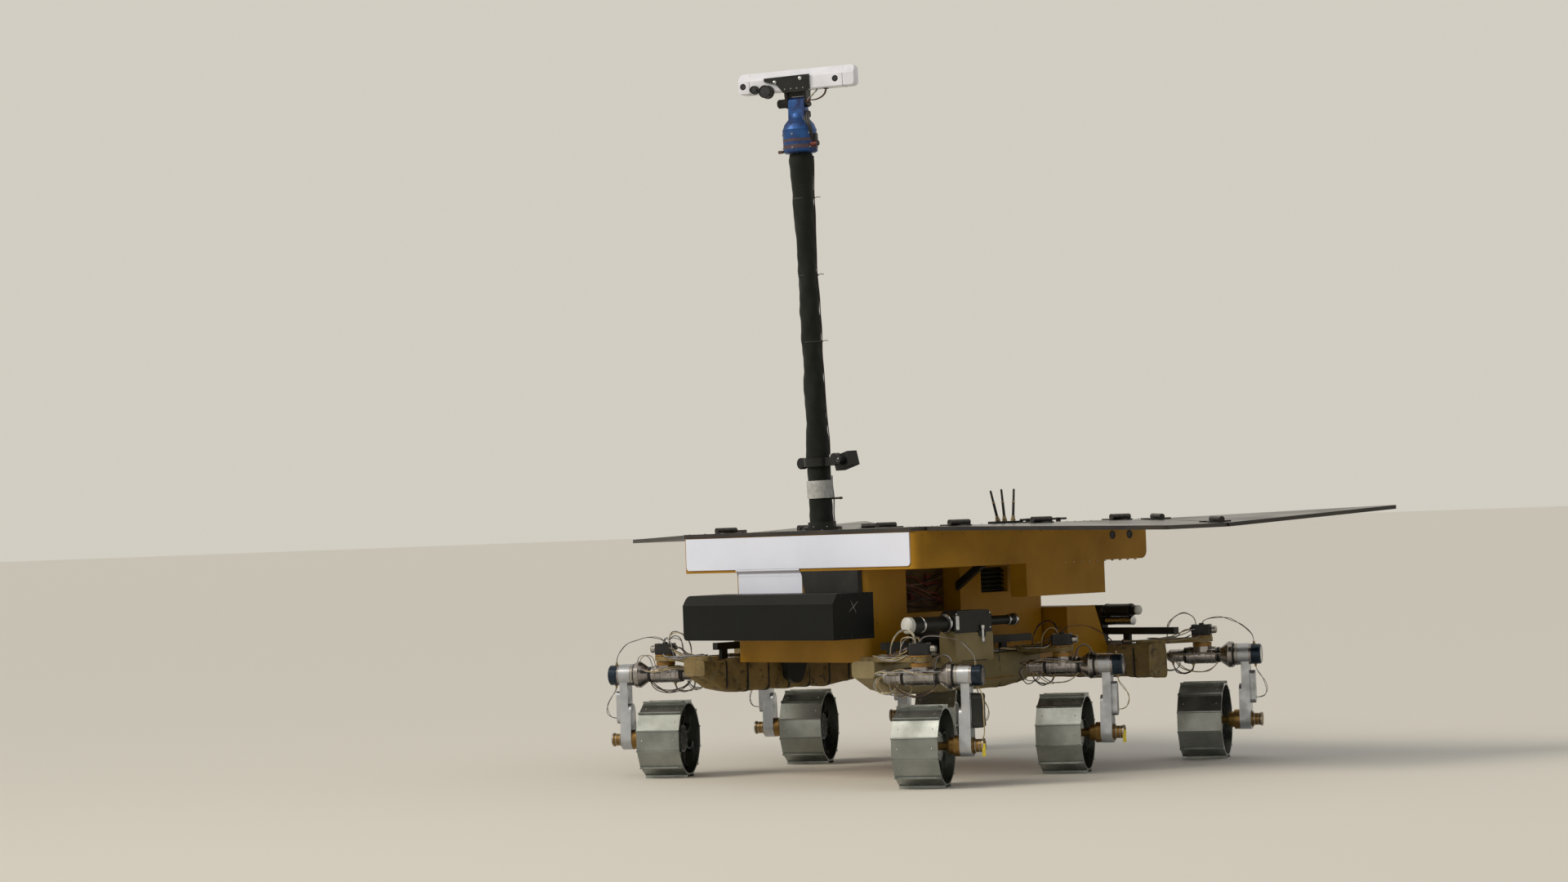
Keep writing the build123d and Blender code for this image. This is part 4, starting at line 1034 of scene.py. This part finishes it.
def makeBar(head):
    look = barLook
    _, back, _ = head["axes"]
    black, glass = [], []
    for x, z, r, start, end in look["barrels"]:
        centre = local(head, (x, 0, z))
        black.append(turned(centre, -back, [(start, r), (end - 1.5, r), (end, r - 1.2), (end, r - 3),
                                            (end - 2.6, r - 4), (end - 2.6, 0.5)], 36))
        black.append(ringOn(centre, -back, start + 1, start + 6, r, 1.2, 36))
        lens = [(end - 2.5, r - 4), (end - 1.4, (r - 4) / 2), (end - 1, 0.4)]
        glass.append(turned(centre, -back, lens, 32))
    for x, z, r in look["lenses"]:
        centre = local(head, (x, 0, z))
        black.append(ringOn(centre, -back, 10, 21, r - 1.2, 1.0, 30))
        glass.append(turned(centre, -back, [(12, r - 0.6), (21.4, r - 2.6), (22, 0.5)], 28))
    buttons = [turned(local(head, place), -back, look["button"], 24) for place in look["buttons"]]
    screws = [screwsAt(local(head, look["plateScrews"]), -back, 2.2, 1.6),
              screwsAt(local(head, look["barScrews"]), back, 2, 1.4)]
    black += blocksAt(head, [look["saddle"]], 0.1, 0.1, 24)
    for x in look["seamAt"]:
        route = local(head, [(x, y, z) for y, z in look["seam"]])
        black += [tube(np.array([a, (a + b) / 2, b]), 0.45, 5) for a, b in zip(route, np.roll(route, -1, 0))]
    newPiece("camera_tubes", "camera_head",
             {"black_anodised": black, "lensGlass": glass, "platedSteel": screws, "bareAluminium": buttons})


def makeHeadCables(head):
    look = headCables
    rng = np.random.default_rng(31)
    ribbon = [smoothLine(local(head, np.add(look["ribbon"], (0, y, 0))), 5) for y in look["ribbonOffsets"]]
    parts = {"wireBrown": [tube(line, look["ribbonWire"], 6) for line in ribbon]}
    for colour in look["looseColours"]:
        route = local(head, look["loose"])
        route[1:-1] += rng.uniform(-1, 1, (len(route) - 2, 3)) * look["stray"] * mm
        parts[colour] = [tube(smoothLine(route, 5), look["looseWire"], 6)]
    parts["redConnector"] = blocksAt(head, [look["connector"]])
    parts["nylon"] = blocksAt(head, look["clips"])
    newPiece("head_cables", "camera_head", parts)


def makePanUnit(neck):
    look = panLook
    base, (along, back, _) = neck["origin"], neck["axes"]
    bands, cloth = (ringsOn(base, panAxis, look[name], 0.7, 56) for name in ("bands", "cloth"))
    height, reach = look["footScrew"]
    bolts = [screwRing(base + panAxis * height * mm, panAxis, reach, 1, 1, 1)]
    for height in look["boltZ"]:
        for normal in circle(np.arange(look["bolts"]) * 2 * np.pi / look["bolts"] + 0.4, along, back):
            bolts.append(screwsAt(base + (panAxis * height + look["radius"] * normal) * mm, normal, 3, 2))
    loom = []
    for k, x in enumerate(look["loomOffsets"]):
        route = np.add(look["loom"], (x, 0, 0))
        route[:3, 1] -= k     # the strands spread out over the lower half
        loom.append(tube(smoothLine(local(neck, route), 6), look["loomWire"], 8))
    sockets = {}
    for name, sides in (("darkSocket", 18), ("redSocket", 16), ("brownSocket", 14)):
        place, facing, start, end, radius = look[name]
        sockets[name] = ringOn(local(neck, place), facing * along, start, end, radius, 1, sides)
    newPiece("pan_fittings", "pan_head",
             {"blue_anodised": bands, "panBand": cloth, "platedSteel": bolts, "wireBlack": loom,
              "nylon": blocksAt(neck, look["plugs"]) + [sockets["darkSocket"]],
              "redConnector": [sockets["redSocket"]], "wireBrown": [sockets["brownSocket"]]})


headStand, neckStand = headStands()
makeBar(headStand)
makeHeadCables(headStand)
makePanUnit(neckStand)
print("mast and head")

# Beam covers: a thin wrap lies round each beam and wrinkles between its ties

coverLook = {
    "stand": 3.5,      # mm that the cover stands off the beam
    # waves in 6 m, per turn, depth in mm
    "wrinkles": [(31, 2, 1.5), (53, 3, 1.0), (97, 5, 0.7), (17, 1, 1.6)],
    # share of the wrinkles, less on the left cover, which is pulled smooth
    "calm": {"left": 0.35, "right": 1.0, "rear": 1.2},
    "squareness": 0.32,
    "outward": 1.5,    # mm that a side cover sits further out than its beam
    "beam": (0.335, 0.425), "top": 0.370, "bottom": 0.270,   # the beams' faces and heights, in metres
    # how a side beam's underside rises to its ends: distance from the front or rear end, height
    "frontRise": [(0, 0.326), (0.07, 0.284), (0.15, 0.270)],
    "rearRise": [(0.15, 0.270), (0.06, 0.284), (0, 0.326)],
    "tape": (0.0042, 0.2965, 0.10, 0.12),   # outwards of the beam, height, and distances from both ends
    "rearReach": 0.563, "rearHalf": 0.040,
    "tie": [(-2.5, 1.5), (-2.2, 4.6), (2.2, 4.6), (2.5, 1.5)],   # along the beam, and off it
    "sideTies": (0.09, 7), "rearTies": (0.5, 9),   # how far from the ends or the middle, and how many
}


# a cover along a beam: superellipse rings whose top, bottom and half width may change along it, pushed out
# along their own radius by stand + calm·(0.6 + 0.4·sin 5s)·sum of A·sin(2π·f·s/6 + n·t + 1.7·sin 11s)
def coverOn(places, axes, tops, bottoms, halfWidths, calm, phase):
    t = np.linspace(0, 2 * np.pi, 72, endpoint=False)
    s = np.linalg.norm(places - places[0], axis=1)[:, None]
    u, v = squared(t, coverLook["squareness"])
    depth = np.zeros((len(s), len(t)))
    for f, n, a in coverLook["wrinkles"]:
        depth += a * np.sin(2 * np.pi * f / 6 * s + n * t[None] + 1.7 * np.sin(11 * s + phase + n))
    depth = (coverLook["stand"] + calm * (depth * (0.6 + 0.4 * np.sin(5 * s + phase)))) * mm
    tops, bottoms, halfWidths = (np.broadcast_to(value, len(s))[:, None]
                                 for value in (tops, bottoms, halfWidths))
    wide = (halfWidths + depth) * u
    high = (tops + bottoms) / 2 + ((tops - bottoms) / 2 + depth) * v
    return skin(places[:, None] + wide[..., None] * axes[0] + high[..., None] * axes[2])


# a flat tie drawn round a cover: a band that follows the cover's own section
def tieRound(place, axes, top, bottom, halfWidth):
    u, v = squared(np.linspace(0, 2 * np.pi, 48, endpoint=False), coverLook["squareness"])
    rings = []
    for shift, stand in coverLook["tie"]:
        wide = (halfWidth + stand * mm) * u
        high = (top + bottom) / 2 + ((top - bottom) / 2 + stand * mm) * v
        rings.append(place + wide[:, None] * axes[0] + shift * mm * axes[1] + high[:, None] * axes[2])
    return skin(np.array(rings))


def makeSideCover(side, name):
    look = coverLook
    low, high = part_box("bogie_" + name)
    beamIn, beamOut = look["beam"]
    x, half, top = (beamIn + beamOut) / 2, (beamOut - beamIn) / 2, look["top"]
    y = np.linspace(low.y - 3 * mm, high.y + 3 * mm, 170)
    rise = [(low.y + s, z) for s, z in look["frontRise"]] + [(high.y - s, z) for s, z in look["rearRise"]]
    bottom = np.interp(y, *np.transpose(rise))
    places = np.stack([np.full_like(y, side * (x + look["outward"] * mm)), y, np.zeros_like(y)], 1)
    shell = coverOn(places, np.eye(3), top, bottom, half, look["calm"][name], side)
    # a golden line of tape along the lower outer edge, and black ties round the cover
    outward, tapeZ, front, rear = look["tape"]
    line = np.linspace((side * (beamOut + outward), low.y + front, tapeZ),
                       (side * (beamOut + outward), high.y - rear, tapeZ), 24)
    line[:, 2] += 1.5 * mm * np.sin(31 * line[:, 1])
    margin, count = look["sideTies"]
    ties = [tieRound(np.array([side * x, place, 0]), np.eye(3), top, np.interp(place, y, bottom), half)
            for place in np.linspace(low.y + margin, high.y - margin, count)]
    newPiece("cover_" + name, "chassis",
             {"bogie_wrap" if side < 0 else "smoothWrap": [shell], "amberTape": [tube(line, 2.2, 8)],
              "nylon": ties}, 50)


def makeRearCover():
    look = coverLook
    x = np.linspace(-look["rearReach"], look["rearReach"], 240)
    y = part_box("bogie_rear")[0].y + look["rearHalf"]
    axes = np.array([[0, 1, 0], [-1, 0, 0], [0, 0, 1]], float)
    size = (look["top"], look["bottom"], look["rearHalf"])
    places = np.stack([x, np.full_like(x, y), np.zeros_like(x)], 1)
    shell = coverOn(places, axes, *size, look["calm"]["rear"], 2.0)
    reach, count = look["rearTies"]
    ties = [tieRound(np.array([place, y, 0]), axes, *size) for place in np.linspace(-reach, reach, count)]
    newPiece("cover_rear", "chassis", {"bogie_wrap": [shell], "nylon": ties}, 50)


makeSideCover(1, "left")
makeSideCover(-1, "right")
makeRearCover()
print("covers")

# Pivots: a white cap, rings and fittings on the drives, and a brown wrap round their lower halves

pivotLook = {
    "x": 0.466, "y": -0.3683, "z": 0.474,   # middle of the left drive, in metres
    "cap": [(236, 23.5), (237, 24.7), (251, 24.7), (256, 19.5), (257, 6)],   # ahead of the middle
    "frontRings": [(190, 198, 24), (84, 92, 27.6)],
    "rearRings": [(180, 187, 15), (206, 214.5, 17.6)],
    # on the block's outer face, at this distance from the middle: outwards, aft and up
    "face": 0.4972,
    "plate": ((0, -68, 474), (42, 14, 3)),
    "fittingAt": (5, 34, 0),
    "fitting": [(412, 5), (414, 6.5), (425, 6.5), (426, 4.5), (452, 4.5), (453, 6.5), (463, 6.5), (465, 5)],
    "strap": ((2, 34, 438), (18, 30, 5)),
    "screws": [(0, y, z) for y in (-72, 72) for z in (456, 500)],
    # the wrap: middle, half length, top, bottom and half width in metres, and its share of the wrinkles
    "wrapX": 0.4655, "wrapHalf": 0.0815, "wrap": (0.446, 0.3565, 0.0305, 0.25),
    # the rear drive's two barrels, along X: their height, and how far behind the beam's front face they are
    "motorZ": 0.444, "motorBack": 0.070,
    "motor": [(330, 13), (331, 13.8), (441, 13.8), (441.5, 12), (441.5, 4)],
    "gearZ": 0.478, "gearBack": 0.066,
    "gear": [(462, 14), (463, 15.6), (470, 15), (475.5, 9), (476, 2)],
    "gearRings": [(332, 340, 20), (430, 438, 20)],
}


def makePivots():
    look = pivotLook
    white, bright, black = [], [], []
    aft = np.array([0.0, 1.0, 0.0])
    for side in (-1, 1):
        out = np.array([side, 0.0, 0.0])
        centre = np.array([side * look["x"], look["y"], look["z"]])
        face = {"origin": np.array([side * look["face"], look["y"], 0.0]),
                "axes": np.array([out, aft, upward])}
        white.append(turned(centre, -aft, look["cap"], 40))
        bright += ringsOn(centre, -aft, look["frontRings"]) + ringsOn(centre, aft, look["rearRings"])
        place, size = look["plate"]
        bright.append(block(local(face, place), axesOn(out), size))
        bright.append(turned(local(face, look["fittingAt"]), upward, look["fitting"], 20))
        place, size = look["strap"]
        black.append(block(local(face, place), axesOn(out), size))
        bright.append(screwsAt(local(face, look["screws"]), out, 3, 2))
        y = np.linspace(look["y"] - look["wrapHalf"], look["y"] + look["wrapHalf"], 40)
        places = np.stack([np.full_like(y, side * look["wrapX"]), y, np.zeros_like(y)], 1)
        wrap = coverOn(places, np.eye(3), *look["wrap"], 4.0)
        newPiece("pivot_wrap_" + ("left" if side > 0 else "right"), "chassis",
                 {"smoothWrap" if side > 0 else "bogie_wrap": [wrap]}, 50)
    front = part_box("bogie_rear")[0].y
    motor = np.array([0.0, front + look["motorBack"], look["motorZ"]])
    gear = np.array([0.0, front + look["gearBack"], look["gearZ"]])
    east = np.array([1.0, 0.0, 0.0])
    bright.append(turned(motor, east, look["motor"], 32))
    white.append(turned(gear, east, look["gear"], 32))
    black += ringsOn(gear, east, look["gearRings"])
    newPiece("pivot_fittings", "chassis",
             {"whiteCap": white, "bareAluminium": bright, "black_anodised": black})


makePivots()
print("pivots")

# Hull: the sheet between the white plates, rims of the side holes, clips, dark linings of painted shade and wires
# in the bays

hullLook = {
    "stripX": (-0.272, 0.020),
    # the bent sheet between the two white plates: y and z of its outline in mm
    "strip": [(-635.3, 652.6), (-635.3, 647.5), (-625.2, 638.5), (-625.2, 630), (-624.0, 630),
              (-623.8, 637.6), (-633.8, 646.6), (-633.8, 652.6)],
    "holes": [(0.2387, 0.720), (0.3187, 0.720)],
    "hole": [(0.4, 13.6), (1.6, 12), (1.2, 8.6), (0, 7.9), (-6, 7.6)],
    "clips": (0.02, 0.37, 0.036), "clipZ": 0.6412, "clip": (3.4, 8, 5),   # from, to, step along the box
    # openings in the tub's sides: y and z range in metres, depth in mm, and the material of their painted-shade
    # lining
    "bay": ((-0.4473, -0.2133), (0.505, 0.637), 74, "bayShadeBrown"),
    "vent": ((-0.1203, -0.0003), (0.555, 0.633), 29, "ventShadeGreen"),
    "louvres": 5, "louvreIn": 17, "louvre": (15, 1.6), "louvreLean": (0.8, 0.6),
    "wires": 12, "wireColours": ["wireDark", "redConnector", "wireBrown", "wireDark", "cable_sheath"],
    # ends as shares of the bay's height, then mm: depth, bow, sag, stray and radius
    "wireEnds": (0.1, 0.9), "wireIn": 70, "wireBow": (12, 50), "wireSag": 12, "wireStray": 9,
    "wireRadius": (1.6, 2.6),
    # y, z and height of each, then how deep they sit and their width and thickness
    "connectors": [(-0.41, 0.60, 34), (-0.36, 0.555, 26), (-0.29, 0.60, 40), (-0.25, 0.545, 22)],
    "connectorIn": 66, "connector": (16, 12),
    # rows of screws along a side: node, z, from, to, number, radius, height
    "sideScrews": [("tub", 0.395, -0.575, 0.12, 12, 2.6, 1.6), ("tub", 0.480, -0.575, 0.12, 12, 2.6, 1.6),
                   ("deck_box", 0.742, -0.60, 0.17, 10, 2.4, 1.4)],
    "rearFace": 0.3958, "rearScrewZ": (0.66, 0.745), "rearScrewX": 0.49,
    "port": ((0, 0.3962, 0.705), [(-0.2, 21), (1, 20), (1, 15), (-0.2, 14)]),
}


# a straight bar along X: the same outline of (y, z) points in mm at both ends
def barAlongX(outline, start, end):
    section = np.array([(0, y * mm, z * mm) for y, z in outline])
    stations = np.array([start, start + 0.5 * mm, end - 0.5 * mm, end])
    return skin(section[None] + stations[:, None, None] * np.array([1.0, 0, 0]))


# one loose wire across a bay: straight between its ends, then moved at random, bowed outwards and sagging
def bayWire(side, inner, yRange, zRange, rng):
    look = hullLook
    (y0, y1), (z0, z1) = yRange, zRange
    a, b = rng.uniform(*look["wireEnds"], 2)
    bow = rng.uniform(*look["wireBow"]) * mm
    t = np.linspace(0, 1, 7)
    route = np.linspace((inner, y0 + 6 * mm, z0 + a * (z1 - z0)), (inner, y1 - 6 * mm, z0 + b * (z1 - z0)), 7)
    route[1:-1] += rng.uniform(-1, 1, (5, 3)) * look["wireStray"] * mm
    route[:, 0] += side * bow * np.sin(np.pi * t)
    route[:, 2] -= look["wireSag"] * mm * np.sin(np.pi * t) ** 2
    return tube(smoothLine(route, 5), rng.uniform(*look["wireRadius"]), 6)


def makeHull():
    look = hullLook
    strip = barAlongX(look["strip"], *look["stripX"])
    newPiece("plate_strip", "chassis", {"white_plate": [strip]}, 30)

    faces = {name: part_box(name)[1].x for name in ("deck_box", "tub")}
    dark, clips, screws, parts = [], [], [], {}
    rng = np.random.default_rng(41)
    for side in (-1, 1):
        out = np.array([side, 0.0, 0.0])
        boxX, tubX = side * faces["deck_box"], side * faces["tub"]
        dark += [turned((boxX, y, z), out, look["hole"], 36) for y, z in look["holes"]]
        clips += [block((boxX - side * 2 * mm, y, look["clipZ"]), axesOn(out), look["clip"], 0.4)
                  for y in np.arange(*look["clips"])]
        # thin dark sheets against the inner walls of the bay and the vent: painted shade for the recesses
        for (y0, y1), (z0, z1), depth, shadeLining in (look["bay"], look["vent"]):
            parts.setdefault(shadeLining, []).append(
                block((tubX - side * depth * mm, (y0 + y1) / 2, (z0 + z1) / 2), axesOn(out),
                      ((z1 - z0) / mm - 2, (y1 - y0) / mm - 2, 2), 0.05, 0.05, 32))
        # the vent's louvres, in the vent's painted-shade colour
        (y0, y1), (z0, z1), _, shadeLining = look["vent"]
        flat, drop = look["louvreLean"]
        tilted = np.array([[0, 1.0, 0], [side * flat, 0, -drop], [drop * side, 0, flat]])
        parts[shadeLining] += [block((tubX - side * look["louvreIn"] * mm, (y0 + y1) / 2, z), tilted,
                                ((y1 - y0) / mm - 4, *look["louvre"]), 0.1, 0.1, 24)
                          for z in np.linspace(z0 + 12 * mm, z1 - 12 * mm, look["louvres"])]
        # wires across the bay, and connectors behind them
        yRange, zRange = look["bay"][:2]
        wireX, connectorX = (tubX - side * look[name] * mm for name in ("wireIn", "connectorIn"))
        for k in range(look["wires"]):
            colour = look["wireColours"][k % len(look["wireColours"])]
            parts.setdefault(colour, []).append(bayWire(side, wireX, yRange, zRange, rng))
        parts["redConnector"] += [block((connectorX, y, z), axesOn(out), (tall, *look["connector"]))
                                  for y, z, tall in look["connectors"]]
        for name, z, y0, y1, count, *size in look["sideScrews"]:
            x = side * (faces[name] + 0.1 * mm)
            screws.append(screwRow((x, y0, z), (x, y1, z), count, out, *size))
    place, ring = look["port"]
    dark.append(turned(place, (0, 1, 0), ring, 40))
    x, y = look["rearScrewX"], look["rearFace"]
    screws += [screwRow((-x, y, z), (x, y, z), 13, (0, 1, 0), 2.4, 1.4) for z in look["rearScrewZ"]]
    newPiece("hull_fittings", "chassis",
             {"black_anodised": dark, "dullBrass": clips, **parts, "paintedScrews": screws})


makeHull()

# Deck: screws round the fixed panel, a rod on clips, and the aerials

deckLook = {
    # rows of screws: their line, where they start and end, and how many
    "crossRows": [-0.622, 0.393], "crossRow": (-0.50, 0.50, 14),
    "longRows": [-0.485, 0.485], "longRow": (-0.57, 0.34, 13), "screw": (2.6, 1.4),
    "mastRing": (-0.035, -0.4783, 10, 54, 8, 3, 2.4),   # x, y, height, reach, number, radius, height
    "rodX": (0.016, 0.219), "rodY": 0.36, "rodZ": 0.777, "clipX": (0.05, 0.185),
    # y in metres, lean in degrees, length in mm
    "aerials": [(0.2727, 17, 105), (0.3037, 6, 105), (0.3427, -5, 105)],
    "aerialFoot": (40, 130, 8),
    "ferrule": [(-2, 8), (7, 8), (8, 6.4), (16, 6), (17, 4.8)], "collar": (60, 65, 4.4),
}


def makeDeck():
    look = deckLook
    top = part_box("mast_foot")[0].z
    x0, x1, count = look["crossRow"]
    screws = [screwRow((x0, y, top), (x1, y, top), count, upward, *look["screw"]) for y in look["crossRows"]]
    y0, y1, count = look["longRow"]
    screws += [screwRow((x, y0, top), (x, y1, top), count, upward, *look["screw"]) for x in look["longRows"]]
    x, y, lift, *ring = look["mastRing"]
    screws.append(screwRing((x, y, top + lift * mm), upward, *ring))
    (x0, x1), y, z = look["rodX"], look["rodY"], look["rodZ"]
    rod = [tube(np.linspace((x0, y, z), (x1, y, z), 3), 3.5, 14)]
    rod += [block((x, y, (top + z) / 2), np.eye(3), (10, 14, (z - top) / mm + 8)) for x in look["clipX"]]
    newPiece("deck_fittings", "chassis", {"platedSteel": screws, "black_anodised": rod})


def makeAerials():
    look = deckLook
    low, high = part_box("aerials")
    rods = [block((0, (low.y + high.y) / 2, low.z + 4 * mm), np.eye(3), look["aerialFoot"], 0.12, 0.15, 48)]
    ferrules = []
    for y, lean, length in look["aerials"]:
        angle = math.radians(lean)
        way = np.array([0.0, -math.sin(angle), math.cos(angle)])
        foot = np.array([0.0, y, low.z + 8 * mm])
        rods.append(turned(foot, way, [(0, 4.6), (62, 4.4), (64, 3.9), (length - 3, 3.7), (length, 2)], 20))
        ferrules += [turned(foot, way, look["ferrule"], 24), ringOn(foot, way, *look["collar"], 0.7, 20)]
    newPiece("aerial_rods", "chassis", {"black_anodised": rods, "dullBrass": ferrules},
             replaces=["aerials"])


# Drill: two thin scratches on its end, and the screws of its end cover

drillLook = {
    # y and z of each one's ends
    "scratches": [((-0.746, 0.520), (-0.706, 0.553)), ((-0.738, 0.556), (-0.716, 0.516))],
    "scratchRadii": np.array([0.3, 0.8, 1.0, 0.8, 0.3]),
    "screwY": (-0.66, -0.78), "screwZ": (0.447, 0.569),
}


def makeDrillMarks():
    look = drillLook
    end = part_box("drill_box")[1].x
    marks = []
    for (y0, z0), (y1, z1) in look["scratches"]:
        line = np.linspace((end - 0.2 * mm, y0, z0), (end - 0.2 * mm, y1, z1), 5)
        line[1:4, 2] += np.array([1.2, -0.8, 0.9]) * mm
        marks.append(tube(line, look["scratchRadii"], 6))
    y0, y1 = look["screwY"]
    screws = [screwRow((end, y0, z), (end, y1, z), 4, (1, 0, 0)) for z in look["screwZ"]]
    newPiece("drill_marks", "drill", {"scuffed": marks, "black_anodised": screws})


# Navigation camera: its lens with a rim, and two clamp knobs, the larger with a bright band

navLook = {
    "lensX": 0.0958, "lensZ": 0.9805,
    "lens": [(-1, 9), (0.6, 7.5), (1.4, 4), (1.6, 0.5)],
    "rim": [(-8, 12.1), (-7.5, 12.9), (-1, 12.9), (0.8, 12), (0.8, 9.4), (-1, 9)],
    "smallKnob": ((-0.106, -0.4853, 0.977), (-10, 12, 15, 3, 28)),
    "bigKnob": ((0.076, -0.5000, 0.985), (2, 26, 17, 2, 32)),
    "band": ((0.076, -0.5000, 0.985), (21, 24, 17.4, 0.6, 32)),
}


def makeNavCamera():
    look = navLook
    forward = np.cross([1.0, 0, 0], panAxis)
    forward /= np.linalg.norm(forward)
    centre = np.array([look["lensX"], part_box("nav_camera")[0].y, look["lensZ"]])
    smallKnob, bigKnob, band = (ringOn(np.array(place), forward, *ring)
                                for place, ring in (look["smallKnob"], look["bigKnob"], look["band"]))
    newPiece("nav_fittings", "chassis",
             {"lensGlass": [turned(centre, forward, look["lens"], 28)],
              "black_anodised": [turned(centre, forward, look["rim"], 32), smallKnob, bigKnob],
              "platedSteel": [band]})


makeDeck()
makeAerials()
makeDrillMarks()
makeNavCamera()
print("hull and deck")
